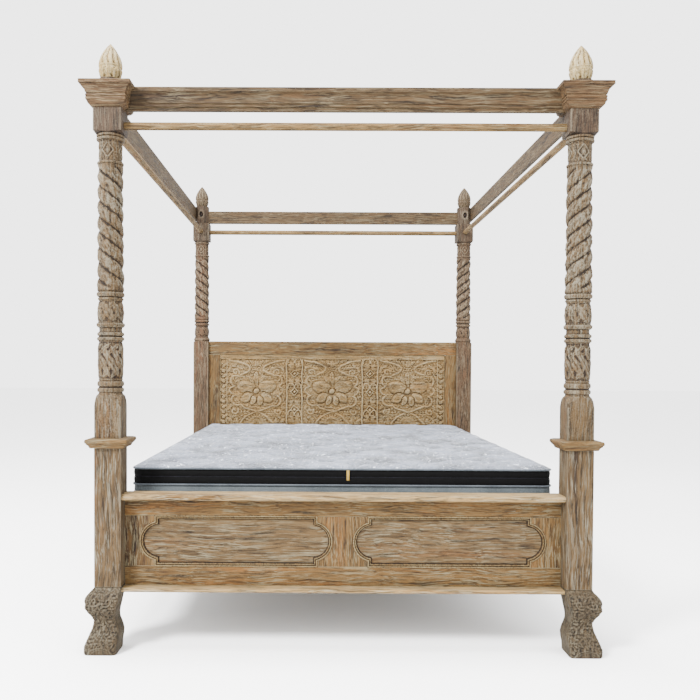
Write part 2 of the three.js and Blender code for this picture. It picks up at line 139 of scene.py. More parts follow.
def soften(grid, reach, wrap):
    """A box blur over a grid of heights. `wrap` says whether the columns join round."""
    out = grid.copy()
    for axis, joins in ((0, False), (1, wrap)):
        padded = np.pad(out, [(reach, reach) if a == axis else (0, 0) for a in (0, 1)],
                        mode="wrap" if joins else "edge")
        sums = np.cumsum(np.insert(padded, 0, 0, axis=axis), axis=axis)
        n = out.shape[axis]
        window = 2 * reach + 1
        out = (np.take(sums, range(window, window + n), axis=axis) - np.take(sums, range(n), axis=axis)) / window
    return out


def hollows(height, reach, depth, wrap=True):
    """0 in carved hollows, 1 on ridges, 0.5 on the flat: the carved wood paints shade into the hollows and a paler
    highlight onto the ridges by it.
    """
    return np.clip(0.5 + (height - soften(height, reach, wrap)) / (2 * depth), 0, 1)


# ------------------------------------------------------------------ carving motifs
def leaf(u, v, angle, length, width):
    """Height from 0 to 1 of one carved leaf, with a grooved midrib and side veins."""
    along, across = turned_by(angle, u, v)
    t = np.clip(along / length + 0.5, 0, 1)
    half = width / 2 * np.sin(math.pi * t ** 0.85) * (1 + 0.16 * np.sin(t * 6 * math.pi))
    body = dome(across, np.maximum(half, 1e-3)) * (np.abs(along) < length / 2)
    veins = 1 - 0.22 * (0.5 + 0.5 * np.cos(2 * math.pi * (along - 1.2 * np.abs(across)) / (length / 4.2)))
    midrib = 1 - 0.45 * np.exp(-((across / (0.09 * width)) ** 2))
    return body * veins * midrib


def place(height, u, v, cu, cv, angle, length, width, strength=1.0, around=0.0):
    """Adds one leaf to a height grid in place. `around` is the distance at which u comes round again."""
    du = u - cu
    if around:
        du = short_way(du, around)
    near = (np.abs(du) < length * 0.6) & (np.abs(v - cv) < length * 0.6)
    if near.any():
        made = strength * leaf(du[near], v[near] - cv, angle, length, width)
        height[near] = np.maximum(height[near], made)


def foliage(u, v, seed, pitch, around=0.0, strength=1.0):
    """A field of small carved leaves that turn with their place, as hand-cut scrollwork does."""
    rng = np.random.default_rng(seed)
    height = np.zeros_like(u)
    columns = max(3, round((around or np.ptp(u)) / pitch))
    step = (around or np.ptp(u)) / columns
    rows = max(2, round(np.ptp(v) / (pitch * 0.85)))
    for j in range(rows + 1):
        for i in range(columns + (0 if around else 1)):
            cu = u.min() + (i + 0.5 * (j % 2) + rng.uniform(-0.2, 0.2)) * step
            cv = v.min() + (j + rng.uniform(-0.2, 0.2)) * np.ptp(v) / rows
            angle = rng.uniform(0, 2 * math.pi)
            place(height, u, v, cu, cv, angle, pitch * 1.45, pitch * 0.62, strength, around)
    return height


def ridge(u, v, line, width):
    """Height from 0 to 1 of a rounded ridge along a line of points."""
    nearest = np.full(u.shape, 1e9)
    for (x0, y0), (x1, y1) in zip(line[:-1], line[1:]):
        dx, dy = x1 - x0, y1 - y0
        t = np.clip(((u - x0) * dx + (v - y0) * dy) / (dx * dx + dy * dy), 0, 1)
        nearest = np.minimum(nearest, np.hypot(u - x0 - t * dx, v - y0 - t * dy))
    return dome(nearest, width / 2)


def arc_points(cx, cy, rx, ry, start, end, count=14):
    """Points along an arc of an ellipse, from one angle in degrees to another."""
    angles = np.radians(np.linspace(start, end, count))
    return [(cx + rx * math.cos(a), cy + ry * math.sin(a)) for a in angles]


def curl(cx, cy, radius, start, turns, hand=1, count=22):
    """The points of a spiral scroll that winds in to its centre."""
    t = np.linspace(0, 1, count)
    angles = math.radians(start) + hand * turns * 2 * math.pi * t
    radii = radius * (1 - 0.82 * t)
    return [(cx + r * math.cos(a), cy + r * math.sin(a)) for r, a in zip(radii, angles)]


# ------------------------------------------------------------------ meshes
def points_of(mesh):
    """The points of a mesh, in metres."""
    return np.array([v.co for v in mesh.vertices])


def move_points(mesh, points):
    """Moves the points of a mesh, given in metres."""
    mesh.vertices.foreach_set("co", points.ravel())
    mesh.update()


def keep_relief(mesh, values):
    """Stores what the materials paint shade and highlight by: 0 in a hollow, painted dark, 1 on a ridge, painted
    pale.
    """
    mesh.attributes.new("relief", "FLOAT", "POINT").data.foreach_set("value", values)


def build(name, points, faces, sharp=50, relief=None, materials=()):
    """A mesh object from points in millimetres and arrays of faces, smooth but for its sharp edges."""
    mesh = bpy.data.meshes.new(name)
    points = np.asarray(points, float).reshape(-1, 3) * MM
    mesh.vertices.add(len(points))
    mesh.vertices.foreach_set("co", points.ravel())
    sizes = np.concatenate([np.full(len(f), f.shape[1]) for f in faces])
    loops = np.concatenate([f.ravel() for f in faces])
    mesh.loops.add(len(loops))
    mesh.loops.foreach_set("vertex_index", loops.astype(np.int32))
    mesh.polygons.add(len(sizes))
    starts = np.concatenate([[0], np.cumsum(sizes)[:-1]])
    mesh.polygons.foreach_set("loop_start", starts.astype(np.int32))
    mesh.update(calc_edges=True)
    mesh.validate()
    mesh.shade_smooth()
    mesh.set_sharp_from_angle(angle=math.radians(sharp))
    if relief is not None:
        values = np.full(len(points), 0.5, np.float32)
        values[: relief.size] = relief.ravel()
        keep_relief(mesh, values)
    for made in materials:
        mesh.materials.append(made)
    obj = bpy.data.objects.new(name, mesh)
    bpy.context.scene.collection.objects.link(obj)
    return obj


def grid_faces(rows, columns, wrap):
    """Quads over a grid of points. `wrap` says whether the columns join round."""
    r = np.arange(rows - 1)[:, None]
    c = np.arange(columns if wrap else columns - 1)[None, :]
    a = r * columns + c
    b = r * columns + (c + 1) % columns
    return np.stack(np.broadcast_arrays(a, b, b + columns, a + columns), -1).reshape(-1, 4)


def grid_rim(rows, columns):
    """The points round the edge of a grid, in order."""
    return np.concatenate([np.arange(columns), np.arange(1, rows) * columns + columns - 1,
                           (rows - 1) * columns + np.arange(columns - 2, -1, -1),
                           np.arange(rows - 2, 0, -1) * columns])


def rim_walls(rim, start):
    """Quads from a rim to its copy, whose points begin at `start`."""
    i = np.arange(len(rim))
    j = (i + 1) % len(rim)
    return np.stack([rim[i], start + i, start + j, rim[j]], -1)


def strip(ring):
    """Quads that close a convex ring of points across, with no point where many faces meet."""
    n = len(ring)
    i = np.arange(n // 2 - 1)
    return ring[np.stack([i, i + 1, n - 2 - i, n - 1 - i], -1)]


def lofted(name, rings, flip=False, stripped=False, **options):
    """A closed mesh through level rings: an array of rows x columns x 3, from the bottom up."""
    rows, columns = rings.shape[:2]
    quads = grid_faces(rows, columns, True)
    if stripped:
        ends = [strip(np.arange(columns))[:, ::-1], strip(np.arange(columns) + (rows - 1) * columns)]
        return build(name, rings, [quads, *ends], **options)
    ends = np.array([rings[0].mean(0), rings[-1].mean(0)])
    low, high = rows * columns, rows * columns + 1
    i = np.arange(columns)
    j = (i + 1) % columns
    top = (rows - 1) * columns
    caps = np.concatenate([
        np.stack([np.full(columns, low), j, i], -1),
        np.stack([np.full(columns, high), top + i, top + j], -1),
    ])
    if flip:
        quads, caps = quads[:, ::-1], caps[:, ::-1]
    return build(name, np.concatenate([rings.reshape(-1, 3), ends]), [quads, caps], **options)


def swept(name, frames, section, **options):
    """A closed tube of a section swept round a closed path: frames is a list of (origin, x axis, y axis)."""
    rings = np.array([[o + a * x + b * y for a, b in section] for o, x, y in frames])
    rows, columns = rings.shape[:2]
    quads = grid_faces(rows + 1, columns, True) % (rows * columns)
    return build(name, rings.reshape(-1, 3), [quads], **options)


def boarded(name, section, start, end, axis, **options):
    """A moulding: a closed section in the other two axes run straight from start to end along X or Y."""
    steps = np.linspace(start, end, max(2, int(abs(end - start) / 60)))
    rings = np.empty((len(steps), len(section), 3))
    for k, s in enumerate(steps):
        for i, (out, z) in enumerate(section):
            rings[k, i] = (s, out, z) if axis == 0 else (out, s, z)
    return lofted(name, rings, **options)


def fitted(obj, body, slot, *nodes):
    """Rides a finished piece on its body and hides the CAD nodes it stands for."""
    if nodes:
        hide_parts(*nodes)
    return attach(obj, body)


# ------------------------------------------------------------------ materials
def rgb(red, green, blue, depth=0.3, richness=1.5):
    """A linear colour from 0-255 screen values, deepened and enriched to look right under the stage lights."""
    screen = np.array([red, green, blue]) / 255
    linear = np.where(screen <= 0.04045, screen / 12.92, ((screen + 0.055) / 1.055) ** 2.4)
    grey = linear @ [0.2126, 0.7152, 0.0722]
    return (*np.clip(depth * (grey + richness * (linear - grey)), 0.002, 1), 1.0)


class Tree:
    """A short way to write a node tree."""

    def __init__(self, name):
        self.material = bpy.data.materials.new(name)
        self.material.use_nodes = True
        self.nodes = self.material.node_tree.nodes
        self.links = self.material.node_tree.links
        self.nodes.clear()
        self.shader = self.add("ShaderNodeBsdfPrincipled")
        output = self.add("ShaderNodeOutputMaterial")
        self.links.new(self.shader.outputs[0], output.inputs[0])

    def add(self, kind, inputs=None, **settings):
        node = self.nodes.new(kind)
        for key, value in settings.items():
            setattr(node, key, value)
        for key, value in (inputs or {}).items():
            self.put(node.inputs[key], value)
        return node

    def put(self, socket, value):
        if isinstance(value, bpy.types.NodeSocket):
            self.links.new(value, socket)
        else:
            socket.default_value = value

    def noise(self, vector, scale, detail=3.0, rough=0.55, distortion=0.0):
        made = self.add("ShaderNodeTexNoise", {
            "Vector": vector, "Scale": scale, "Detail": detail, "Roughness": rough, "Distortion": distortion})
        return made.outputs["Fac"]

    def ramp(self, value, *stops):
        node = self.add("ShaderNodeValToRGB", {"Fac": value})
        elements = node.color_ramp.elements
        while len(elements) < len(stops):
            elements.new(0.5)
        for element, (position, colour) in zip(elements, stops):
            element.position = position
            element.color = colour if hasattr(colour, "__len__") else (colour, colour, colour, 1)
        return node.outputs["Color"]

    def math(self, operation, a, b=0.0):
        return self.add("ShaderNodeMath", {0: a, 1: b}, operation=operation).outputs[0]

    def mix(self, factor, a, b, blend="MIX"):
        node = self.add("ShaderNodeMix", {"Factor": factor}, data_type="RGBA", blend_type=blend)
        self.put(node.inputs[6], a)
        self.put(node.inputs[7], b)
        return node.outputs[2]

    def where(self):
        """The object's own coordinates."""
        return self.add("ShaderNodeTexCoord").outputs["Object"]

    def relief(self):
        """What `keep_relief` stored in the mesh."""
        return self.add("ShaderNodeAttribute", attribute_name="relief").outputs["Fac"]

    def vector(self, operation, a, b):
        return self.add("ShaderNodeVectorMath", {0: a, 1: b}, operation=operation).outputs[0]

    def surface(self, **inputs):
        """Sets shader inputs by name, with _ for a space."""
        for key, value in inputs.items():
            self.put(self.shader.inputs[key.replace("_", " ")], value)

    def place(self, scale, spread=3.0, sway=0.0):
        """Object coordinates scaled by axis, moved a different way for every object and bent a little."""
        chance = self.add("ShaderNodeObjectInfo").outputs["Random"]
        shift = self.add("ShaderNodeCombineXYZ", {0: self.math("MULTIPLY", chance, spread),
                                                  1: self.math("MULTIPLY", chance, 1.7 * spread),
                                                  2: self.math("MULTIPLY", chance, 2.3 * spread)}).outputs[0]
        moved = self.vector("ADD", self.where(), shift)
        if sway:
            bend = self.add("ShaderNodeTexNoise", {"Vector": moved, "Scale": 4.5, "Detail": 2.0}).outputs["Color"]
            even = self.vector("SUBTRACT", bend, (0.5, 0.5, 0.5))
            moved = self.vector("ADD", moved, self.vector("MULTIPLY", even, (sway, sway, sway)))
        return self.vector("MULTIPLY", moved, scale)

    def bump(self, height, strength, distance):
        made = self.add("ShaderNodeBump", {"Height": height, "Strength": strength, "Distance": distance})
        self.links.new(made.outputs[0], self.shader.inputs["Normal"])


def teak(name, grain, dark, base, warm, wash, washed=0.5, carved=False, depth=1.0):
    """Open-grained, lime-washed teak whose grain runs along axis `grain` (0, 1 or 2). Carved, it has painted shade
    in its hollows and a paler painted highlight, with lime wash, on its ridges.
    """
    t = Tree(name)
    stretch = [1.0, 1.0, 1.0]
    stretch[grain] = 0.07
    fine = [1.0, 1.0, 1.0]
    fine[grain] = 0.04
    along = t.place(stretch, sway=0.035)
    streak = t.place(fine, sway=0.035)
    plain = t.place([1.0, 1.0, 1.0])
    tone = t.noise(along, 14, 5, 0.65, 0.9)
    hollow = base if carved else dark
    colour = t.ramp(tone, (0.34, hollow), (0.46, base), (0.56, base), (0.66, warm))
    figure = t.noise(along, 105, 5, 0.75, 1.1)
    colour = t.mix(0.9, colour, t.ramp(figure, (0.38, 0.16), (0.55, 1.15)), "MULTIPLY")
    cracks = t.noise(streak, 90, 4, 0.65, 0.6)
    colour = t.mix(t.ramp(cracks, (0.34, 0.85), (0.43, 0.0)), colour, tuple(0.35 * c for c in dark[:3]) + (1,))
    pores = t.noise(streak, 240, 4, 0.7, 0.4)
    patches = t.noise(plain, 8, 4, 0.65)
    amount = t.math("MULTIPLY", t.ramp(pores, (0.5, 0.0), (0.6, 1.0)),
                    t.ramp(patches, (0.36, washed * 0.3), (0.62, min(1.0, washed * 1.3))))
    colour = t.mix(amount, colour, wash)
    height = t.math("ADD", t.math("MULTIPLY", figure, 0.7), t.math("MULTIPLY", cracks, 0.6))
    if carved:
        chips = t.noise(plain, 190, 4, 0.65)
        deep = t.math("ADD", t.relief(), t.math("MULTIPLY", t.math("SUBTRACT", chips, 0.5), 1.1))
        # Painted shade: where the relief is low, in the carved hollows, the colour darkens towards the dark teak,
        # broken up by the chisel chips.
        colour = t.mix(t.ramp(deep, (0.18, 0.92), (0.45, 0.0)), colour, tuple(0.4 * c for c in dark[:3]) + (1,))
        # Painted highlight with lime wash: where the relief is high, on the ridges, the colour turns paler towards
        # the wash, in patches.
        high = t.math("MULTIPLY", t.ramp(deep, (0.54, 0.0), (0.82, 0.85)), t.ramp(patches, (0.35, 0.4), (0.6, 1.0)))
        colour = t.mix(high, colour, wash)
        height = t.math("ADD", height, t.math("MULTIPLY", chips, 0.9))
    t.surface(Base_Color=colour, Roughness=t.ramp(pores, (0.3, 0.66), (0.7, 0.9)), Specular_IOR_Level=0.14)
    t.bump(height, 0.55 * depth, 0.0016)
    return t.material


# The dark, base, warm and lime-wash colours of each wood, how much of it is washed and how deep it lies.
TONES = {
    "teak_posts": ((70, 52, 38), (142, 118, 90), (162, 118, 76), (212, 204, 186), 0.75, 0.14),
    "teak_feet": ((60, 50, 40), (118, 102, 82), (130, 106, 74), (192, 184, 166), 0.7, 0.14),
    "teak_top_mouldings": ((56, 42, 34), (120, 96, 74), (142, 108, 74), (196, 178, 152), 0.6, 0.19),
    "neck_wood": ((50, 39, 33), (112, 92, 76), (126, 94, 70), (188, 176, 158), 0.62, 0.14),
    "teak_canopy": ((62, 46, 36), (124, 102, 78), (144, 110, 76), (196, 182, 158), 0.6, 0.14),
    "teak_poles": ((100, 78, 56), (158, 132, 100), (168, 130, 90), (210, 196, 168), 0.5, 0.22),
    "finial_pale": ((136, 104, 66), (212, 190, 148), (196, 152, 96), (240, 230, 204), 0.55, 0.26),
    # The rear finials take a darker copy of the finial teak.
    "finial_aged": ((60, 48, 40), (116, 98, 80), (132, 106, 78), (184, 174, 154), 0.55, 0.21),
    "teak_frame": ((74, 54, 38), (154, 124, 90), (176, 126, 76), (214, 202, 174), 0.6, 0.16),
    "teak_panels": ((64, 48, 36), (142, 118, 90), (156, 116, 76), (208, 198, 174), 0.65, 0.16),
    "teak_ledges": ((130, 98, 64), (204, 176, 138), (204, 162, 108), (236, 226, 202), 0.55, 0.22),
    "teak_carved": ((104, 78, 50), (172, 144, 108), (184, 144, 96), (226, 212, 184), 0.5, 0.21),
    "slat_wood": ((140, 108, 74), (192, 162, 120), (192, 152, 100), (216, 198, 164), 0.2, 0.21),
    "bead_wood": ((60, 44, 32), (142, 114, 82), (158, 118, 74), (206, 192, 162), 0.5, 0.16),
    # The rear posts take a darker copy of the post teak.
    "aged_posts": ((48, 38, 32), (112, 90, 72), (134, 96, 68), (184, 170, 150), 0.6, 0.19),
}
_made = {}


def wood(slot, grain=2, carved=False, depth=1.0, worn=False):
    """The teak of one material slot, with its grain along an axis. Worn is its rubbed edge."""
    key = f"{slot}_{'xyz'[grain]}{'_carved' if carved else ''}{'_edge' if worn else ''}"
    if key not in _made:
        *colours, washed, deep = TONES[slot]
        tones = [rgb(*colour, deep, richness) for colour, richness in zip(colours, (1.4, 1.4, 1.15, 1.5))]
        if worn:
            tones[0] = tones[1]
            tones[1] = tuple(0.45 * a + 0.55 * b for a, b in zip(tones[1], tones[3]))
            washed = min(1.0, washed + 0.3)
        _made[key] = teak(key, grain, *tones, washed=washed, carved=carved, depth=depth)
    return _made[key]


# ------------------------------------------------------------------ posts
RING_SIDES = 144


def ring_angles(count=RING_SIDES):
    """Angles round a post, closer together at the corners of its square blocks."""
    even = 2 * math.pi * np.arange(count) / count
    return even + 0.11 * np.sin(4 * even)


def around_post(x, y, radius, angles, z):
    """Points at a radius and angle from the upright line at x and y."""
    return np.stack([x + radius * np.cos(angles), y + radius * np.sin(angles), z], -1)


def square(angles, half, power=44.0):
    """Radius of a square with slightly eased corners."""
    c, s = np.abs(np.cos(angles)), np.abs(np.sin(angles))
    return half / (c ** power + s ** power) ** (1 / power)


def octagon(angles, half):
    """Radius of an octagon with a flat side facing along each axis."""
    return half / np.cos(short_way(angles, math.pi / 4))


TWIST = {"strands": 3, "lead": 162.0, "depth": 9.5}
POST_ROW = 1.5
OPEN = 500.0  # wider than any part of a post, where a shape sets no limit
FRONT = {
    "block": (746.3, 899.0, 46.0),
    "turning": [[846, 70], [853, 64.6], [866, 61.5], [880, 56.5], [892, 49], [899, 42], [903, 40.5], [946, 40],
                [951, 42], [975, 43.2], [1060, 43.8], [1084, 41], [1114, 40.5], [1119, 38.5], [1129, 39],
                [1148, 43], [1160, 44.2], [1182, 45.6], [1205, 43.5], [1226, 40], [1255, 42], [1259, 46.5],
                [1692, 43.4], [1697, 41], [1706, 40.5], [1712, 39.8], [1744, 38.4], [1772, 40.6], [1778, 43],
                [1800, 43.5], [1804, 60], [1809, 90]],
    "beads": [(905, 921, 5.2), (925, 944, 5.6), (1085, 1098, 5.2), (1101, 1114, 5.4), (1130, 1147, 7),
              (1226, 1234, 3.4), (1237, 1254, 6), (1696, 1705, 4.6), (1777, 1788, 5), (1789, 1800, 4.2)],
    "twist": (1258.0, 1695.0),
    "leaves": [(950, 1083, 8, 4.2), (1149, 1224, 7, 3.4)],
    "collar": (1706, 1776),
    "neck": 1795.0,
}
REAR = {
    "block": (228.3, 1153.0, 46.0),
    "turning": [[1120, 90], [1139, 66], [1147, 60], [1152, 49], [1153, 46], [1176, 44], [1181, 41.5], [1196, 44],
                [1217, 44.4], [1246, 39.5], [1286, 41], [1290, 46], [1675, 43.2], [1680, 41], [1692, 40.5],
                [1725, 38.6], [1752, 40.8], [1772, 43], [1776, 60], [1781, 90]],
    "beads": [(1155, 1172, 4.5), (1249, 1264, 6), (1269, 1286, 5.6), (1679, 1689, 4.6), (1756, 1766, 4.6)],
    "twist": (1290.0, 1677.0),
    "leaves": [(1178, 1246, 7, 3.0)],
    "collar": (1692, 1752),
    "neck": 1766.0,
}
NECK = {"half": 49.0, "top": 1884.0}
CORE = {"half": 42.0, "top": 1988.0, "housing": 34.5}
BOLT_Z = 1938.0


def carve_twist(angles, z, span, hand):
    """How far the barley twist is cut back at each point, in millimetres."""
    low, high = span
    fade = window(z, low, high, 26)
    mirrored = np.arctan2(np.sin(angles), hand * np.cos(angles))
    phase = TWIST["strands"] * (mirrored - 2 * math.pi * (z - low) / TWIST["lead"]) / (2 * math.pi)
    across = 2 * (phase - np.floor(phase)) - 1
    rise = 0.5 * np.sqrt(np.clip(1 - (0.97 * across) ** 2, 0, 1)) + 0.5 * (1 - across ** 2)
    return fade * TWIST["depth"] * (1 - rise)


def carve_gouges(angles, z, span, hand):
    """The chisel work over the twisted strands: long cuts that run a little across each strand."""
    fade = window(z, span[0] + 6, span[1] - 6, 18)
    u = hand * np.arctan2(np.sin(angles), np.cos(angles)) * 44
    along, across = z + 0.62 * u, 0.62 * z - u
    seam = np.cos(angles)
    cuts = noise(np.stack([along / 2.1, across / 1.0, 20 * seam], -1), 6)
    broad = noise(np.stack([along / 2.4, across / 1.2, 20 * seam + 70], -1), 12)
    return fade * (3.6 * (cuts - 0.5) + 3.8 * (broad - 0.5))


def carve_leaves(angles, z, low, high, count, depth):
    """Upright acanthus leaves round a turned bell, with small ones between their tips."""
    radius = 44.0
    around = 2 * math.pi * radius
    u = (angles % (2 * math.pi)) * radius
    field = np.zeros_like(z)
    tall = high - low
    for k in range(count):
        cu = (k + 0.25) * around / count
        lean = 0.55
        place(field, u, z, cu, low + 0.5 * tall, math.pi / 2 + lean, tall * 1.04, around / count * 0.86, 1, around)
        place(field, u, z, cu + 0.4 * around / count, low + 0.8 * tall, math.pi / 2 - 1.6 * lean,
              tall * 0.46, around / count * 0.6, 0.85, around)
        place(field, u, z, cu + 0.6 * around / count, low + 0.2 * tall, math.pi / 2 - 1.2 * lean,
              tall * 0.42, around / count * 0.55, 0.8, around)
    return window(z, low, high, 4) * depth * (field - 0.62)


def carve_rosettes(angles, z, low, high):
    """A framed bud on each side of the neck collar, with small leaves between."""
    radius = 40.0
    u = (angles % (2 * math.pi)) * radius
    around = 2 * math.pi * radius
    middle = (low + high) / 2
    field = 0.45 * foliage(u, z, 31, 11.0, around)
    for k in range(4):
        du = short_way(u - k * around / 4, around)
        away = np.hypot(du / 0.82, z - middle)
        field = np.where(away < 23, 0.05, field)
        turn = np.arctan2(z - middle, du)
        reach = 14 * (0.78 + 0.22 * np.abs(np.cos(2 * turn)))
        field += 0.9 * dome(np.abs(du) + 0.8 * np.abs(z - middle) - 21, 3.4) * (away < 25)
        field += 0.75 * dome(away, reach) * (away > 5) + 1.2 * dome(away, 5.5)
    return window(z, low, high, 3) * 3.2 * (field - 0.4)


def bolt_recess(angles, radii, z, direction, half_width, half_height, depth):
    """An oval socket cut into a flat side of a post core. Returns how deep it is at each point."""
    away = np.arctan2(np.sin(angles - direction), np.cos(angles - direction))
    across = radii * np.sin(away)
    inside = 1 - (across / half_width) ** 2 - ((z - BOLT_Z) / half_height) ** 2
    return np.where(np.abs(away) < 1, depth * np.clip(inside * 3, 0, 1) ** 0.5, 0)


def post_heights(spec, bottom):
    """Row heights for a post: fine where it is turned or carved, sparse on its square blocks."""
    block_low = spec["block"][0]
    turned = np.arange(spec["turning"][0][0], spec["neck"] + 14, POST_ROW)
    blocks = np.arange(block_low, spec["turning"][0][0], 24)
    fine = [z for low, high, _ in spec["beads"] for z in np.linspace(low, high, 12)]
    core = np.arange(NECK["top"] + 0.6, CORE["top"], 3.0)
    fixed = [bottom, bottom + 2, spec["neck"], spec["neck"] + 0.1, NECK["top"] - 2, NECK["top"], CORE["top"]]
    rows = np.unique(np.round(np.concatenate([turned, blocks, fine, core, fixed]), 2))
    return rows[rows >= bottom]


def turned_post(name, end, side_name, side, spec):
    """One post from its square block to its eight-sided core, carved."""
    bottom = spec["block"][0]
    rows = post_heights(spec, bottom)
    z, angles = np.meshgrid(rows, ring_angles(), indexing="ij")
    _, block_high, block_half = spec["block"]
    lathe = profile(z, spec["turning"], blur=1.6) + beads(z, spec["beads"])
    lathe = np.where((z < spec["turning"][0][0]) | (z > spec["neck"] + 12), OPEN, lathe)
    carving = np.zeros_like(z)
    low, high = spec["twist"]
    twisting = (z > low) & (z < high)
    carving -= np.where(twisting, carve_twist(angles, z, spec["twist"], side), 0)
    carving += np.where(twisting, carve_gouges(angles, z, spec["twist"], side) - 0.6, 0)
    for low, high, count, depth in spec["leaves"]:
        near = (rows >= low) & (rows <= high)
        carving[near] += carve_leaves(angles[near], z[near], low, high, count, depth)
    low, high = spec["collar"]
    near = (rows >= low) & (rows <= high)
    carving[near] += carve_rosettes(angles[near], z[near], low, high)
    prism = np.full_like(z, OPEN)
    prism = np.where(z <= block_high, square(angles, block_half), prism)
    prism = np.where(z >= spec["neck"], square(angles, NECK["half"]), prism)
    outward = np.cos(angles) * side
    core = np.minimum(octagon(angles, CORE["half"]), CORE["housing"] / np.maximum(outward, 0.05))
    is_core = z > NECK["top"]
    prism = np.where(is_core, core, prism)
    if end == "rear":
        carving -= np.where(is_core, bolt_recess(angles, core, z, -math.pi / 2, 12, 17, 8), 0)
        inner = math.pi if side > 0 else 0.0
        carving -= np.where(is_core, bolt_recess(angles, core, z, inner, 8, 8, 6), 0)
    radius = np.minimum(prism, lathe) + carving
    x, y = POST_AXIS[end, side_name]
    points = around_post(x, y, radius, angles, z)
    wear = (noise(points, 16) - 0.5) * 0.7 + (noise(points * [1, 1, 0.25], 5) - 0.5) * 0.7
    free = np.where((prism > lathe) & ~is_core, 1.5, 0.6)
    radius = radius + wear * free
    points = around_post(x, y, radius, angles, z)
    # Painted shading for the carved teak: shade in the hollows of the twist, leaves, rosettes and beads and a paler
    # highlight on their ridges; the square blocks stay even but for a paler arris at each corner.
    painted_shading = hollows(carving + beads(z, spec["beads"]) * 0.8 + wear, 6, 2.6)
    edge = np.exp(-((((angles % (math.pi / 2)) - math.pi / 4) / 0.055) ** 2))
    on_block = (prism <= lathe) & ~is_core
    painted_shading = np.where(on_block, 0.5 + 0.36 * edge, painted_shading)
    tone = "aged_posts" if end == "rear" else "teak_posts"
    obj = lofted(name, points, sharp=60, relief=painted_shading, materials=[wood(tone, 2, True), wood("neck_wood", 2, True)])
    centres = np.empty(3 * len(obj.data.polygons), np.float32)
    obj.data.polygons.foreach_get("center", centres)
    above = centres[2::3] > (spec["neck"] + 1) * MM
    obj.data.polygons.foreach_set("material_index", above.astype(np.int32))
    return obj


for side_name, side in SIDES:
    made = turned_post(f"turned_post_front_{side_name}", "front", side_name, side, FRONT)
    fitted(made, "bedstead", "teak_posts", f"upper_post_front_{side_name}")
    made = turned_post(f"turned_post_rear_{side_name}", "rear", side_name, side, REAR)
    fitted(made, "bedstead", "teak_posts", f"rear_post_{side_name}")


# ------------------------------------------------------------------ feet
# Each level is [z, inner face, outer face], measured out from the post axis.
FOOT_LEVELS = [
    [0, -36, 74], [5, -37, 77], [28, -38, 77], [46, -41, 70], [63, -42, 63], [82, -38, 55], [98, -33, 50.5],
    [114, -29, 50], [128, -29, 56], [142, -31, 65], [160, -35, 72], [177, -38, 74.5], [192, -41, 73],
    [203, -43, 68], [212, -45, 60], [219, -46, 52], [227, -46, 46.5],
]


def foot_face(s, z, seed):
    """Height of the carving on an outer face of a foot, s across it and z up it."""
    warp = noise(np.stack([s, z, s * 0 + seed], -1), 19) - 0.5
    s, z = s + 7 * warp, z + 6 * warp
    field = 0.85 * foliage(s, z, seed, 12.0)
    for hand in (1, -1):
        field = np.maximum(field, 0.95 * ridge(s, z, curl(23 * hand, 184, 19, 90 + 90 * hand, 1.25, hand), 6))
        field = np.maximum(field, 0.8 * ridge(s, z, curl(20 * hand, 146, 13, 270, 1.1, -hand), 5))
    for cz, size in ((120, 12), (88, 9)):
        away, turn = np.hypot(s, z - cz), np.arctan2(z - cz, s)
        petals = dome(away - size * 0.55, size * 0.5) * (0.72 + 0.28 * np.cos(6 * turn))
        field = np.where(away < size, petals, field)
        field += 0.8 * dome(away, size * 0.28)
    arch = np.hypot(s / 45, z / 25)
    field = np.where(arch < 1.05, 0.35, field)
    field += 0.55 * dome(arch - 0.94, 0.08) + 0.4 * dome(arch - 0.72, 0.07)
    return field * 4.4 - 2.4


def foot(name, end_name, end, side_name, side):
    """A carved foot. Its carving is on the two outer faces."""
    rows = np.unique(np.concatenate([np.linspace(0, 6, 5), np.arange(8, 228, 2.0), [227.6]]))
    z, angles = np.meshgrid(rows, ring_angles(), indexing="ij")
    levels = np.array(FOOT_LEVELS, float)
    inner = profile(z, levels[:, [0, 1]], blur=5)
    outer = profile(z, levels[:, [0, 2]], blur=5)
    half, middle = (outer - inner) / 2, (outer + inner) / 2
    power = 9 + 30 * smoothstep(z, 205, 224)
    radius = square(angles, half, power)
    x, y = radius * np.cos(angles), radius * np.sin(angles)
    faces = ((y > np.abs(x)), x, 5), ((x > np.abs(y)), y, 9)
    carving = np.zeros_like(z)
    for chosen, across, seed in faces:
        edge = np.clip((np.maximum(np.abs(x), np.abs(y)) - np.abs(across)) / 7, 0, 1)
        carving = np.where(chosen, foot_face(across, z, seed) * (0.35 + 0.65 * edge), carving)
    carving *= smoothstep(z, 1, 5) * (1 - smoothstep(z, 208, 224))
    lumps = (noise(np.stack([x, y, z], -1) + 300, 22) - 0.5) * 10
    lumps = lumps * smoothstep(z, 120, 150) * (1 - smoothstep(z, 195, 215))
    radius = radius + carving + np.where((x > 0) | (y > 0), lumps, 0)
    x, y = middle + radius * np.cos(angles), middle + radius * np.sin(angles)
    px, py = POST_AXIS[end_name, side_name]
    points = np.stack([px + side * x, py + end * y, z], -1)
    # Painted shading: shade in the hollows of the foot's carving and a paler highlight on its ridges.
    painted_shading = hollows(carving, 4, 3.4)
    return lofted(name, points, flip=side * end < 0, sharp=60, relief=painted_shading, materials=[wood("teak_feet", 2, True)])


for end_name, end in ENDS:
    for side_name, side in SIDES:
        made = foot(f"carved_foot_{end_name}_{side_name}", end_name, end, side_name, side)
        fitted(made, "bedstead", "teak_feet", f"foot_{end_name}_{side_name}")


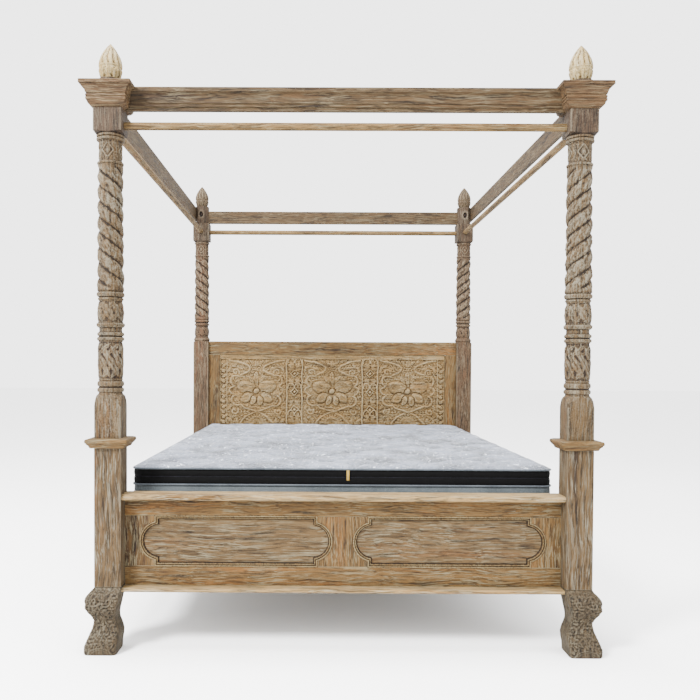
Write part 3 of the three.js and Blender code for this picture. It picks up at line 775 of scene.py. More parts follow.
# ------------------------------------------------------------------ collars, capitals and finials
def square_rings(pairs, x, y, chamfer=1.3, between=7):
    """Square rings with slightly cut corners, and points along each side that hand work has moved."""
    rings = []
    for half, z in pairs:
        ring = []
        for k in range(4):
            c, s = math.cos(k * math.pi / 2), math.sin(k * math.pi / 2)
            for t in np.linspace(-(half - chamfer), half - chamfer, between):
                ring.append((x + half * c - t * s, y + half * s + t * c, z))
        rings.append(ring)
    rings = np.array(rings)
    wobble = (noise(rings, 24) - 0.5) * 0.8
    rings[..., :2] += wobble[..., None] * np.sign(rings[..., :2] - [x, y]) * 0.5
    return rings


def nosing(half, low, high, depth):
    """[half, z] pairs of a slab with a rounded edge."""
    middle, rise = (low + high) / 2, (high - low) / 2
    return [(half - depth * (1 - math.cos(a)), middle + rise * math.sin(a))
            for a in np.radians([-90, -66, -44, -22, 0, 22, 44, 66, 90])]


for side_name, side in SIDES:
    x, y = POST_AXIS["front", side_name]
    low, high = corners(f"collar_front_{side_name}")
    z0, z1, half = low[2], high[2], (high - low)[0] / 2
    lip = nosing(half, z1 - 16, z1 - 2.5, 3.5)
    pairs = [(55, z0), (58, z0 + 0.8), (60, z0 + 4), (61.5, z0 + 8), (65, z0 + 12), (68.5, z0 + 14.5),
             (68.5, z0 + 16.5)] + lip + [(66, z1 - 1.6), (63, z1 - 0.5), (55, z1)]
    made = lofted(f"collar_moulding_{side_name}", square_rings(pairs, x, y), sharp=55,
                  materials=[wood("teak_frame", 0)])
    fitted(made, "bedstead", "teak_posts", f"collar_front_{side_name}")

    low, high = corners(f"capital_front_{side_name}")
    z0, z1 = low[2], high[2]
    pairs = [(49.5, z0), (53, z0 + 1), (58, z0 + 4), (62.5, z0 + 9), (65, z0 + 15), (65.5, z0 + 19), (68.5, z0 + 20),
             (69, z0 + 27), (67, z0 + 28), (67, z0 + 30), (69, z0 + 31), (69, z0 + 37), (66.5, z0 + 38),
             (66.5, z0 + 42), (69.5, z0 + 43), (70.5, z0 + 48), (73, z0 + 55), (78, z0 + 62), (83.5, z0 + 67.5),
             (84, z0 + 69), (88, z0 + 70), (88, z0 + 75), (87, z0 + 76), (88, z0 + 77), (88, z1 - 1.2), (86.6, z1)]
    made = lofted(f"capital_moulding_{side_name}", square_rings(pairs, x, y), sharp=24,
                  materials=[wood("teak_top_mouldings", 0)])
    fitted(made, "bedstead", "teak_top_mouldings", f"capital_front_{side_name}")

FINIAL = [[0, 29], [3, 31.5], [8, 33], [20, 37], [30, 39.8], [36, 40.2], [38, 38.2], [43, 38.2], [45, 40.4],
          [56, 40.2], [68, 38], [80, 34], [92, 28], [104, 20.5], [114, 13], [122, 6], [127, 1.2]]
FINIAL_RADIUS = 39


def finial(name, end_name, side_name, slot):
    """A turned finial with a cup of leaves and a fluted crown."""
    node = f"finial_{end_name}_{side_name}"
    base = corners(node)[0][2]
    tip = FINIAL[-1][0]
    rows = np.unique(np.concatenate([np.arange(0, tip - 1, 1.6), [float(tip)]]))
    z, angles = np.meshgrid(rows, 2 * math.pi * np.arange(96) / 96, indexing="ij")
    radius = profile(z, FINIAL, blur=1.2)
    carving = np.zeros_like(z)
    u = angles * FINIAL_RADIUS
    around = 2 * math.pi * FINIAL_RADIUS
    cups = np.zeros_like(z)
    for k in range(8):
        place(cups, u, z, k * around / 8, 19, math.pi / 2, 42, around / 8 * 1.05, 1, around)
        place(cups, u, z, (k + 0.5) * around / 8, 28, math.pi / 2, 24, around / 8 * 0.6, 0.7, around)
    carving += (cups - 0.5) * 2.6 * smoothstep(z, 3, 6) * (1 - smoothstep(z, 34, 37))
    flutes = np.abs(np.sin(6 * angles + 0.4 * np.sin(z / 9))) ** 0.5
    carving -= (1 - flutes) * 2.4 * smoothstep(z, 46, 52) * (1 - smoothstep(z, 100, 122))
    radius = np.maximum(radius + carving, 0.8)
    x, y = POST_AXIS[end_name, side_name]
    points = around_post(x, y, radius, angles, base + z)
    radius += (noise(points, 9) - 0.5) * 0.8
    points = around_post(x, y, radius, angles, base + z)
    # The relief paints shade into the hollows of the leaves and flutes and a paler highlight onto their ridges.
    made = lofted(name, points, sharp=60, relief=hollows(carving, 4, 1.8), materials=[wood(slot, 2, True)])
    return fitted(made, f"finial_lift_{end_name}_{side_name}", slot, node)


for end_name, _ in ENDS:
    for side_name, _ in SIDES:
        finial(f"carved_finial_{end_name}_{side_name}", end_name, side_name,
               "finial_pale" if end_name == "front" else "finial_aged")


# ------------------------------------------------------------------ curtain poles
def pole(name, node, axis):
    """A curtain pole, very slightly bent as a hand-turned one is."""
    low, high = corners(node)
    middle = (low + high) / 2
    radius = (high - low)[2] / 2
    steps = np.linspace(low[axis], high[axis], 60)
    angles = 2 * math.pi * np.arange(28) / 28
    rings = np.empty((len(steps), len(angles), 3))
    for k, s in enumerate(steps):
        a = radius * np.cos(angles)
        b = radius * np.sin(angles)
        rings[k] = np.stack([np.full(28, s), middle[1] + a, middle[2] + b] if axis == 0
                            else [middle[0] + a, np.full(28, s), middle[2] + b], -1)
    bend = (noise(np.stack([steps, steps * 0, steps * 0], -1) + 50, 420) - 0.5) * 1.6
    rings[..., 2] += bend[:, None] * np.sin(math.pi * np.linspace(0, 1, len(steps)))[:, None]
    made = lofted(name, rings, flip=axis == 1, sharp=50, materials=[wood("teak_poles", axis)])
    return fitted(made, "bedstead", "teak_poles", node)


for end_name, _ in ENDS:
    pole(f"rod_{end_name}", f"curtain_pole_{end_name}", 0)
for side_name, _ in SIDES:
    pole(f"rod_{side_name}", f"curtain_pole_{side_name}", 1)


# ------------------------------------------------------------------ footboard ledges and panel beads
def ledge(name, node, grain=0):
    """A footboard ledge with a rounded front edge."""
    low, high = corners(node)
    depth = high[1] - low[1]
    nose = nosing(depth, low[2], high[2], 7)
    section = [(high[1], low[2])] + [(high[1] - out, z) for out, z in nose] + [(high[1], high[2])]
    made = boarded(name, section[::-1], low[0], high[0], 0, sharp=40, materials=[wood("teak_ledges", grain)])
    return fitted(made, "bedstead", "teak_ledges", node)


ledge("cap_ledge", "footboard_cap")
ledge("base_ledge", "footboard_base_moulding")

FOOT_FACE = corners("footboard_top_rail")[0][1]
OPENING = {"in": 91.0, "out": 664.0, "bulge": 53.0, "half": 67.0,
           "top": corners("footboard_top_rail")[0][2], "bottom": corners("footboard_bottom_rail")[1][2]}


def opening_outline(side):
    """The outline of a footboard panel opening, anticlockwise seen from the foot end."""
    o = OPENING
    middle = (o["top"] + o["bottom"]) / 2
    radius = (o["half"] ** 2 + o["bulge"] ** 2) / (2 * o["bulge"])
    sweep = math.degrees(math.asin(o["half"] / radius))
    right = arc_points(o["out"] + o["bulge"] - radius, middle, radius, radius, -sweep, sweep, 22)
    left = arc_points(o["in"] - o["bulge"] + radius, middle, radius, radius, 180 - sweep, 180 + sweep, 22)
    line = [(o["in"], o["bottom"]), (o["out"], o["bottom"]), *right,
            (o["out"], o["top"]), (o["in"], o["top"]), *left]
    return line if side > 0 else [(-x, z) for x, z in line[::-1]]


# [in from the opening's edge, depth behind the footboard's face, how it is painted: 0 is painted shade in a groove,
# higher is a paler painted highlight, with lime wash, on a crest].
# A negative depth stands proud.
BEAD_SECTION = [(-3.4, 1.0, 0.0), (-3.0, -0.4, 0.25), (-1.6, -2.2, 0.6), (1.2, -2.9, 0.85), (3.2, -1.6, 0.5),
                (3.7, 1.6, 0.0), (4.6, 2.4, 0.0), (5.4, 0.4, 0.35), (7.2, -0.4, 0.75), (9.0, 0.9, 0.6),
                (9.8, 3.2, 0.3), (11.4, 5.0, 0.1), (12.6, 6.9, 0.0), (13.2, 9.6, 0.0), (-3.4, 9.6, 0.0)]


def panel_bead(name, side):
    """The moulding swept round one footboard panel opening."""
    line = np.array(opening_outline(side))
    ahead = np.roll(line, -1, 0) - line
    ahead /= np.linalg.norm(ahead, axis=1)[:, None]
    behind = np.roll(ahead, 1, 0)
    inward_a = np.stack([-behind[:, 1], behind[:, 0]], -1)
    inward_b = np.stack([-ahead[:, 1], ahead[:, 0]], -1)
    inward = inward_a + inward_b
    inward /= np.linalg.norm(inward, axis=1)[:, None]
    inward /= np.maximum((inward * inward_b).sum(1), 0.4)[:, None]
    frames = [(np.array([x, FOOT_FACE, z]), np.array([i[0], 0, i[1]]), np.array([0, 1, 0]))
              for (x, z), i in zip(line, inward)]
    section = BEAD_SECTION[::-1]
    # Painted shading across the bead: shade in its grooves and a paler highlight on its crests.
    painted_shading = np.tile([tone for _, _, tone in section], (len(frames), 1))
    made = swept(name, frames, [(a, b) for a, b, _ in section], sharp=35, relief=painted_shading,
                 materials=[wood("bead_wood", 1, True)])
    return fitted(made, "bedstead", "teak_frame")


for side_name, side in SIDES:
    panel_bead(f"panel_bead_{side_name}", side)


# ------------------------------------------------------------------ headboard carving
PANEL_LOW, PANEL_HIGH = corners("headboard_panel")
CARVED_TOP = 1044.0
BAY_PITCH = 472.5
BAY_HALF = 182.5
COLUMN_X = 236.0
COLUMN_HALF = 53.5
BORDER_IN = 655.0
PANEL_STEP = 2.3
CARVING_DEPTH = 7.5
FLOWER_Z = 842

# The scrollwork in half a bay, as lines of points out from its centre line and up.
BAY_LINES = [
    [(176, 1036), (150, 1034), (118, 1026), (84, 1014), (58, 1003), (44, 992), (40, 982), (46, 971),
     (62, 960), (84, 950), (104, 943)],
    curl(126, 958, 22, 200, 1.1, -1),
    arc_points(116, 905, 46, 34, 100, -50, 16),
    arc_points(120, 846, 48, 30, 62, -62, 16),
    arc_points(112, 784, 42, 34, 62, -100, 16),
    [(100, 752), (76, 738), (46, 728), (0, 716)],
    [(0, 716), (34, 700), (66, 678), (92, 650), (104, 636)],
    curl(136, 716, 22, 150, 1.1, 1),
]

# The petals of its flower: the middle, angle, length and width of each.
PETALS = ((66, 868, 0.16, 112, 84), (62, 800, -0.5, 88, 58), (22, 782, -1.3, 60, 40))

# The leaves over it: the middle, angle, length, width and strength of each.
SPRIGS = [
    (0, 925, math.pi / 2, 86, 40, 1), (34, 915, 1.0, 62, 24, 0.9), (0, 1016, math.pi / 2, 44, 34, 0.9),
    (30, 1024, 0.5, 46, 20, 0.85), (66, 1030, 0.3, 40, 16, 0.8),
    *[(46 * math.cos(a), 636 + 46 * math.sin(a), a, 70, 17, 0.95)
      for a in (math.pi / 2 - 0.28 * k for k in range(6))],
    *[(cu, cv, angle, 44, 19, 0.85) for cu, cv, angle in (
        (140, 1000, 2.5), (166, 978, 2.0), (104, 985, 0.3), (150, 925, 1.2), (166, 742, -1.0),
        (140, 680, -0.6), (168, 660, 0.6), (120, 655, 1.4))],
]

# Down a column: the heights of its leaves, diamonds and bells, and the angle and reach of each leaf.
LEAF_Z, DIAMOND_Z, BELL_Z = (1000, 905, 775, 682), (952, 838, 728), (868, 1024, 700)
LEAF_TURNS = ((1.1, 20), (0.25, 26), (2.0, 14))


def bay(x, z):
    """Carving of one bay, x measured from its centre line and folded, so both halves match."""
    here = np.stack([x + 900, z, x * 0 + 5], -1)
    wander, tremble = noise(here, 44) - 0.5, noise(here + 400, 15) - 0.5
    s = np.abs(x + 9 * wander + 3.5 * tremble)
    z = z + 9 * (noise(here + 700, 44) - 0.5) + 3.5 * (noise(here + 150, 15) - 0.5)
    field = 0.55 * foliage(s, z, 11, 16.0)
    for line in BAY_LINES:
        field = np.maximum(field, 0.9 * ridge(s, z, line, 9))
        field = np.maximum(field, 0.6 * ridge(s, z, line, 18))
    inside = ((s / 140) ** 2.4 + (np.abs(z - FLOWER_Z) / 92) ** 2.4) < 1
    field = np.where(inside & (field < 0.6), 0.45 * field + 0.1, field)
    for cu, cv, angle, length, width in PETALS:
        along, across = turned_by(angle, s - cu, z - cv)
        ring = np.hypot(along / (length / 2), across / (width / 2))
        shape = dome(ring, 1)
        dish = 1 - 0.24 * dome(np.hypot((along - 6) / (length * 0.26), across / (width * 0.26)), 1)
        field = np.where((ring > 1) & (ring < 1.14), 0.15 * field, field)
        field = np.maximum(field, shape * dish * 1.3)
    field = np.where(np.hypot(s, z - 836) < 24, 0.0, field)
    field = np.maximum(field, 1.25 * dome(np.hypot(s, z - FLOWER_Z), 17))
    crown = np.zeros_like(s)
    for sprig in SPRIGS:
        place(crown, s, z, *sprig)
    return np.maximum(field, crown)


def column(x, z):
    """A carved upright band of stacked leaf, diamond and bell motifs."""
    here = np.stack([x + 900, z, x * 0 + 5], -1)
    s = np.abs(x + 8 * (noise(here, 30) - 0.5))
    z = z + 8 * (noise(here + 300, 30) - 0.5)
    field = 0.5 * foliage(s, z, 23, 13.0)
    field = np.maximum(field, dome(s - 48, 5))
    for cv in LEAF_Z:
        for angle, cu in LEAF_TURNS:
            place(field, s, z, cu, cv, angle, 44, 18, 0.9)
            place(field, s, z, cu, cv - 22, -angle, 40, 16, 0.75)
    for cv in DIAMOND_Z:
        diamond = np.abs(s) / 26 + np.abs(z - cv) / 24
        field = np.where(diamond < 1.15, 0.2, field)
        field = np.maximum(field, dome(diamond - 0.95, 0.17))
        field = np.maximum(field, 1.05 * dome(np.hypot(s, z - cv), 9))
    for cv in BELL_Z:
        field = np.maximum(field, ridge(s, z, arc_points(22, cv, 20, 22, 200, -20, 12), 8))
    return field


def border(x, z):
    """The leaf scroll down each outer edge of the panel."""
    s = np.abs(x) - (BORDER_IN + PANEL_HIGH[0]) / 2
    field = 0.2 * foliage(s, z, 41, 12.0)
    for k, cv in enumerate(np.arange(652, 1036, 32.0)):
        hand = (-1) ** k
        place(field, s, z, 7 * hand, cv, math.pi / 2 - 0.9 * hand, 42, 19, 1)
        field = np.maximum(field, 0.8 * ridge(s, z, curl(-9 * hand, cv + 4, 9, 90 * hand, 0.9, hand), 5))
    return np.maximum(field, dome(np.abs(s) - 21, 3.5) * 0.8)


def carved_panel():
    """The carved headboard panel: a closed board whose front is the height field."""
    low, high = PANEL_LOW, PANEL_HIGH
    columns = int((high[0] - low[0]) / PANEL_STEP)
    rows = int((high[2] - low[2]) / PANEL_STEP)
    x, z = np.meshgrid(np.linspace(low[0], high[0], columns), np.linspace(low[2], high[2], rows))
    field = np.zeros_like(x)
    for centre in (-BAY_PITCH, 0, BAY_PITCH):
        chosen = np.abs(x[0] - centre) <= BAY_HALF
        field[:, chosen] = bay((x - centre)[:, chosen], z[:, chosen])
    for centre in (-COLUMN_X, COLUMN_X):
        chosen = np.abs(x[0] - centre) <= COLUMN_HALF
        field[:, chosen] = column((x - centre)[:, chosen], z[:, chosen])
    for side in (-1, 1):
        chosen = side * x[0] > BORDER_IN
        field[:, chosen] = border(x[:, chosen], z[:, chosen])
    carved = 1 - smoothstep(z, CARVED_TOP - 6, CARVED_TOP)
    points = np.stack([x, np.zeros_like(x), z], -1)
    swell = noise(points, 58) - 0.5
    cut = (field * CARVING_DEPTH + 2.4 * swell) * carved + (1 - carved) * 5.5
    cut += (noise(points, 7) - 0.5) * 2.0 * carved + (noise(points * [0.1, 1, 1], 9) - 0.5) * 0.5
    back, front = high[1], low[1] + 3.2
    face = front - cut
    # Painted shading: shade in the hollows of the headboard carving and a paler highlight on its ridges.
    painted_shading = hollows(cut, 5, 5.6, wrap=False)
    edge = np.ones_like(x, bool)
    edge[1:-1, 1:-1] = False
    face = np.where(edge, np.maximum(face, front), face)
    top = np.stack([x, face, z], -1).reshape(-1, 3)
    rear = np.stack([x, np.full_like(x, back), z], -1)
    faces = grid_faces(rows, columns, False)
    rim = grid_rim(rows, columns)
    rear_rim = rear.reshape(-1, 3)[rim]
    start = len(top)
    i = np.arange(len(rim))
    j = (i + 1) % len(rim)
    centre = start + len(rim)
    fan = np.stack([np.full(len(rim), centre), start + j, start + i], -1)
    points = np.concatenate([top, rear_rim, rear_rim.mean(0)[None]])
    made = build("carved_headboard_panel", points, [faces, rim_walls(rim, start), fan], sharp=60, relief=painted_shading,
                 materials=[wood("teak_carved", 0, True)])
    return fitted(made, "bedstead", "teak_carved", "headboard_panel")


carved_panel()


# ------------------------------------------------------------------ mattress
MATTRESS_LOW = corners("mattress_base")[0]
MATTRESS_HIGH = corners("mattress_top")[1]
MATTRESS_MIDDLE = (MATTRESS_LOW + MATTRESS_HIGH) / 2
MATTRESS_HALF = (MATTRESS_HIGH - MATTRESS_LOW) / 2
CORNER = 40.0
BASE_Z = (corners("mattress_base")[0][2], corners("mattress_base")[1][2])
GUSSET_Z = (corners("mattress_gusset")[0][2], corners("mattress_gusset")[1][2])
TOP_Z = (corners("mattress_top")[0][2], corners("mattress_top")[1][2])
SEAM_SPACING, SEAM_WAVE, OVAL_LENGTH = 102.0, 43.0, 204.0
CLOTH_FRAMES = 18


def outline(inset, spacing=10.0):
    """Points and outward directions round the mattress, at an even spacing."""
    hx, hy = MATTRESS_HALF[0] - inset, MATTRESS_HALF[1] - inset
    radius = CORNER - inset
    points, normals = [], []
    for quarter in range(4):
        turn = quarter * math.pi / 2
        c, s = math.cos(turn), math.sin(turn)
        across, along = (hx, hy) if quarter % 2 == 0 else (hy, hx)
        run = np.linspace(-(along - radius), along - radius, int(2 * (along - radius) / spacing), endpoint=False)
        for t in run:
            points.append((across * c - t * s, across * s + t * c))
            normals.append((c, s))
        bends = np.linspace(0, math.pi / 2, int(radius * math.pi / 2 / spacing) + 2, endpoint=False)
        for a in bends:
            cx, cy = across - radius, along - radius
            px, py = cx + radius * math.cos(a), cy + radius * math.sin(a)
            points.append((px * c - py * s, px * s + py * c))
            normals.append((math.cos(turn + a), math.sin(turn + a)))
    even = len(points) // 2 * 2
    return np.array(points[:even]) + MATTRESS_MIDDLE[:2], np.array(normals[:even])


def quilt_distance(x, y):
    """Distance from the nearest quilting seam: wavy lines that meet and part round ovals."""
    spacing, wave, length = SEAM_SPACING, SEAM_WAVE, OVAL_LENGTH
    slope = wave * 2 * math.pi / length * np.cos(2 * math.pi * y / length)
    nearest = np.full(x.shape, 1e9)
    k = np.round(x / spacing)
    for shift in (-1, 0, 1):
        n = k + shift
        sign = np.where(n % 2 == 0, 1, -1)
        line = n * spacing + sign * wave * np.sin(2 * math.pi * y / length)
        nearest = np.minimum(nearest, np.abs(x - line) / np.sqrt(1 + slope ** 2))
    return nearest


def quilt_flowers(x, y):
    """Distance from the nearest petal stitched in the middle of an oval."""
    spacing, length = SEAM_SPACING, OVAL_LENGTH
    i = np.round(x / spacing - 0.5)
    lift = np.where(i % 2 == 0, 0.75, 0.25) * length
    u = x - (i + 0.5) * spacing
    v = short_way(y - lift, length)
    away, turn = np.hypot(u, v), np.arctan2(v, u)
    return np.abs(away - 19 * (0.72 + 0.28 * np.cos(4 * turn)))


def fabric(name, base, light, dark, weave, bump, sheen=0.12, quilted=False):
    """Woven or knitted cloth with a fine weave, flecks and soft sheen."""
    t = Tree(name)
    where = t.where()
    threads = []
    for axis in ("X", "Y", "Z"):
        wave = t.add("ShaderNodeTexWave", {"Vector": where, "Scale": weave, "Distortion": 1.4, "Detail": 1.0,
                                           "Detail Scale": 2.0}, wave_type="BANDS", bands_direction=axis)
        threads.append(wave.outputs["Fac"])
    knit = t.math("MULTIPLY", t.math("ADD", t.math("ADD", threads[0], threads[1]), threads[2]), 0.33)
    heather = t.noise(where, 420, 3, 0.7)
    broad = t.noise(where, 7, 3, 0.6)
    colour = t.ramp(broad, (0.35, dark), (0.6, base))
    colour = t.mix(t.ramp(heather, (0.5, 0.0), (0.72, 0.75)), colour, light)
    colour = t.mix(0.35, colour, t.ramp(knit, (0.2, 0.55), (0.7, 1.0)), "MULTIPLY")
    if quilted:
        # Painted shade: the cover darkens along its stitched seams and petals, where it dips between the puffs.
        colour = t.mix(t.ramp(t.relief(), (0.02, 0.6), (0.48, 0.0)), colour, dark)
        flecks = t.noise(where, 48, 5, 0.8)
        colour = t.mix(t.ramp(flecks, (0.6, 0.0), (0.64, 0.9)), colour, light)
    t.surface(Base_Color=colour, Roughness=t.ramp(heather, (0.3, 0.82), (0.7, 0.97)),
              Sheen_Weight=sheen, Specular_IOR_Level=0.06)
    t.bump(t.math("ADD", knit, t.math("MULTIPLY", heather, 0.6)), bump, 0.0008)
    return t.material


QUILT = fabric("quilt_knit", rgb(160, 166, 180, 0.28), rgb(240, 243, 248, 0.7), rgb(92, 97, 108, 0.15), 260, 0.6,
               quilted=True)
GUSSET = fabric("gusset_weave", rgb(12, 12, 15), rgb(26, 27, 31), rgb(8, 8, 10), 340, 0.7, 0.0)
BORDER = fabric("border_weave", rgb(118, 124, 127), rgb(170, 176, 178), rgb(92, 98, 101), 320, 0.5)
PIPING = fabric("piping_tape", rgb(112, 118, 124), rgb(166, 172, 178), rgb(80, 86, 92), 420, 0.5)
LABEL = fabric("label_tape", rgb(206, 180, 130), rgb(226, 208, 170), rgb(184, 158, 112), 500, 0.4)
THREAD = fabric("stitch_thread", rgb(44, 44, 50), rgb(72, 72, 80), rgb(30, 30, 34), 900, 0.4, 0.0)


def simulate(obj, free, pressure, cap):
    """Swells the free points of a closed cloth under pressure, by `cap` mm at most, and keeps the result."""
    mesh = obj.data
    rest = points_of(mesh)
    pins = obj.vertex_groups.new(name="pinned")
    pins.add([int(i) for i in np.flatnonzero(~free)], 1.0, "REPLACE")
    cloth = obj.modifiers.new("cloth", "CLOTH")
    s = cloth.settings
    s.quality = 4
    s.mass = 0.3
    s.tension_stiffness = s.compression_stiffness = 12
    s.shear_stiffness = 5
    s.bending_stiffness = 0.6
    s.use_pressure = True
    s.uniform_pressure_force = pressure
    s.vertex_group_mass = "pinned"
    s.effector_weights.gravity = 0
    scene = bpy.context.scene
    for step in range(1, CLOTH_FRAMES + 1):
        scene.frame_set(step)
    settled = obj.evaluated_get(bpy.context.evaluated_depsgraph_get()).to_mesh()
    moved = points_of(settled) - rest
    obj.modifiers.remove(cloth)
    scene.frame_set(1)
    size = np.linalg.norm(moved, axis=1)
    limit = cap * MM
    moved *= (limit * np.tanh(size / limit) / np.maximum(size, 1e-9))[:, None]
    move_points(mesh, rest + moved)


def quilt_top():
    """The quilted top panel: a knitted cover puffed up between its stitched seams."""
    low_z, high_z = TOP_Z
    inset = 3.0
    hx, hy = MATTRESS_HALF[0] - inset, MATTRESS_HALF[1] - inset
    radius = CORNER - inset
    nx, ny = int(2 * hx / 10), int(2 * hy / 10)
    gx, gy = np.meshgrid(np.linspace(-hx, hx, nx), np.linspace(-hy, hy, ny))
    a = np.clip((np.abs(gx) - (hx - radius)) / radius, 0, 1)
    b = np.clip((np.abs(gy) - (hy - radius)) / radius, 0, 1)
    away = np.hypot(a, b)
    factor = np.where(away > 0, np.maximum(a, b) / np.maximum(away, 1e-9), 1)
    x = np.where((a > 0) & (b > 0), np.sign(gx) * (hx - radius + radius * a * factor), gx)
    y = np.where((a > 0) & (b > 0), np.sign(gy) * (hy - radius + radius * b * factor), gy)
    rim_x = np.minimum(hx - np.abs(gx), hy - np.abs(gy))
    edge = np.clip(rim_x / 26, 0, 1)
    round_over = (high_z - low_z - 5) * (1 - np.sqrt(1 - (1 - edge) ** 2 * 0.98))
    z = high_z - 3.5 - round_over
    top = np.stack([x + MATTRESS_MIDDLE[0], y + MATTRESS_MIDDLE[1], z], -1).reshape(-1, 3)
    rim = grid_rim(ny, nx)
    low_rim = top[rim].copy()
    low_rim[:, 2] = low_z
    start = len(top)
    under = strip(start + np.arange(len(rim)))[:, ::-1]
    points = np.concatenate([top, low_rim])
    faces = [grid_faces(ny, nx, False), rim_walls(rim, start), under]
    made = build("quilted_top", points, faces, sharp=180, materials=[QUILT])
    seam = quilt_distance(x, y).ravel()
    free = np.zeros(len(points), bool)
    free[:start] = (seam > 7) & (rim_x.ravel() > 12)
    simulate(made, free, pressure=5.0, cap=7.0)
    finer = made.modifiers.new("finer", "SUBSURF")
    finer.levels = finer.render_levels = 1
    mesh = bpy.data.meshes.new_from_object(made.evaluated_get(bpy.context.evaluated_depsgraph_get()))
    made.modifiers.clear()
    made.data = mesh
    co = points_of(mesh) / MM
    upper = smoothstep(co[:, 2], high_z - 9, high_z - 5)
    px, py = co[:, 0] - MATTRESS_MIDDLE[0], co[:, 1] - MATTRESS_MIDDLE[1]
    seam = quilt_distance(px, py)
    flower = quilt_flowers(px, py)
    puff = 8.0 * (1 - np.exp(-((seam / 17) ** 2))) - 2.6 * np.exp(-((flower / 4.5) ** 2))
    pucker = 1.1 * np.sin(2 * math.pi * (px + py) / 17 + 3 * noise(co, 60)) * np.exp(-((seam / 15) ** 2))
    co[:, 2] += upper * (puff + pucker + 3.0 * (noise(co, 150) - 0.5) - 5.0)
    move_points(mesh, co * MM)
    # Painted shade along the seams and stitched petals of the quilting, for the fabric to darken.
    stitched = 0.5 - 0.5 * np.exp(-((seam / 8) ** 2)) * upper - 0.35 * np.exp(-((flower / 5) ** 2)) * upper
    keep_relief(mesh, stitched.astype(np.float32))
    return fitted(made, "mattress", "mattress_quilt", "mattress_top")


def border_side():
    """The grey fabric round the mattress below the gusset, swelling a little between its edges."""
    low_z, high_z = BASE_Z
    heights = np.concatenate([[low_z, low_z + 3, low_z + 8], np.linspace(low_z + 18, high_z - 12, 18),
                              [high_z - 7, high_z - 3, high_z]])
    insets = np.interp(heights, [low_z, low_z + 3, low_z + 8, low_z + 22, high_z - 14, high_z - 5, high_z],
                       [12, 7, 4, 3, 3, 5, 9])
    base, normals = outline(0, 12.0)
    rings = np.empty((len(heights), len(base), 3))
    for k, (z, inset) in enumerate(zip(heights, insets)):
        rings[k, :, :2] = base - normals * inset
        rings[k, :, 2] = z
    made = lofted("mattress_border", rings, stripped=True, sharp=70, materials=[BORDER])
    z = rings[..., 2].ravel()
    free = (z > low_z + 10) & (z < high_z - 9)
    simulate(made, free, pressure=4.0, cap=5.0)
    co = points_of(made.data) / MM
    ripple = (noise(co * [1, 1, 0.35], 70) - 0.5) * 3.0
    away = co[:, :2] - MATTRESS_MIDDLE[:2]
    away /= np.maximum(np.linalg.norm(away, axis=1), 1)[:, None]
    co[:, :2] += away * (ripple * free)[:, None]
    move_points(made.data, co * MM)
    finer = made.modifiers.new("finer", "SUBSURF")
    finer.levels = finer.render_levels = 1
    return fitted(made, "mattress", "mattress_border", "mattress_base")


def gusset_band():
    """The black woven band, quilted by one line of stitches along its middle."""
    low_z, high_z = GUSSET_Z
    base, normals = outline(6, 6.0)
    heights = np.linspace(low_z, high_z, 21)
    t = (heights - low_z) / (high_z - low_z)
    bulge = 3.4 * np.abs(np.sin(2 * math.pi * t)) ** 0.6
    run = np.cumsum(np.linalg.norm(np.roll(base, -1, 0) - base, axis=1))
    rings = np.empty((len(heights), len(base), 3))
    for k, z in enumerate(heights):
        near = math.exp(-(((t[k] - 0.5) / 0.22) ** 2))
        pucker = 0.8 * near * np.sin(2 * math.pi * run / 13) + 0.5 * np.sin(2 * math.pi * run / 47)
        rings[k, :, :2] = base + normals * (bulge[k] + pucker * (0.2 < bulge[k]) - 0.5)[:, None]
        rings[k, :, 2] = z
    made = lofted("gusset_band", rings, stripped=True, sharp=70, materials=[GUSSET])
    return fitted(made, "mattress", "mattress_gusset", "mattress_gusset")


def piping(name, z, inset, radius, material, slot):
    """A corded edge sewn round the mattress."""
    base, normals = outline(inset, 9.0)
    section = [(radius * math.cos(a), radius * math.sin(a)) for a in np.linspace(0, 2 * math.pi, 12, endpoint=False)]
    frames = [(np.array([x, y, z]), np.array([nx, ny, 0]), np.array([0, 0, 1.0]))
              for (x, y), (nx, ny) in zip(base, normals)]
    made = swept(name, frames, section, sharp=80, materials=[material])
    return fitted(made, "mattress", slot)


quilt_top()
border_side()
gusset_band()
piping("piping_upper", TOP_Z[0] + 1.5, 2.0, 3.0, PIPING, "mattress_border")
piping("piping_lower", BASE_Z[1] - 1.5, 2.5, 3.6, PIPING, "mattress_border")
piping("piping_base", BASE_Z[0] + 6.0, 5.0, 4.2, PIPING, "mattress_border")
piping("gusset_seam", sum(GUSSET_Z) / 2, 6.4, 1.1, THREAD, "mattress_gusset")


def label():
    """A plain sewn-in tab at the foot end."""
    low, high = corners("mattress_gusset")
    x0, y0, top = 20.0, low[1] - 4.2, high[2] + 2
    rows, rings = 12, []
    for k in range(rows):
        t = k / (rows - 1)
        z = top - 40 * t
        y = y0 - 2.2 * math.sin(math.pi * t * 0.9) - 0.4
        rings.append([(x0 - 5, y - 0.5, z), (x0 + 5, y - 0.5, z), (x0 + 5, y + 0.4, z), (x0 - 5, y + 0.4, z)])
    made = lofted("side_label", np.array(rings)[::-1], sharp=50, materials=[LABEL])
    return fitted(made, "mattress", "mattress_border")


label()


# ------------------------------------------------------------------ bolts in the rear post cores
def iron(name):
    """Dark, slightly rusted iron."""
    t = Tree(name)
    where = t.where()
    rust = t.noise(where, 180, 5, 0.65)
    t.surface(Base_Color=t.ramp(rust, (0.35, rgb(28, 26, 25)), (0.65, rgb(72, 52, 40))),
              Roughness=t.ramp(rust, (0.3, 0.4), (0.7, 0.8)), Metallic=0.7)
    t.bump(rust, 0.4, 0.0005)
    return t.material


IRON = iron("dark_iron")


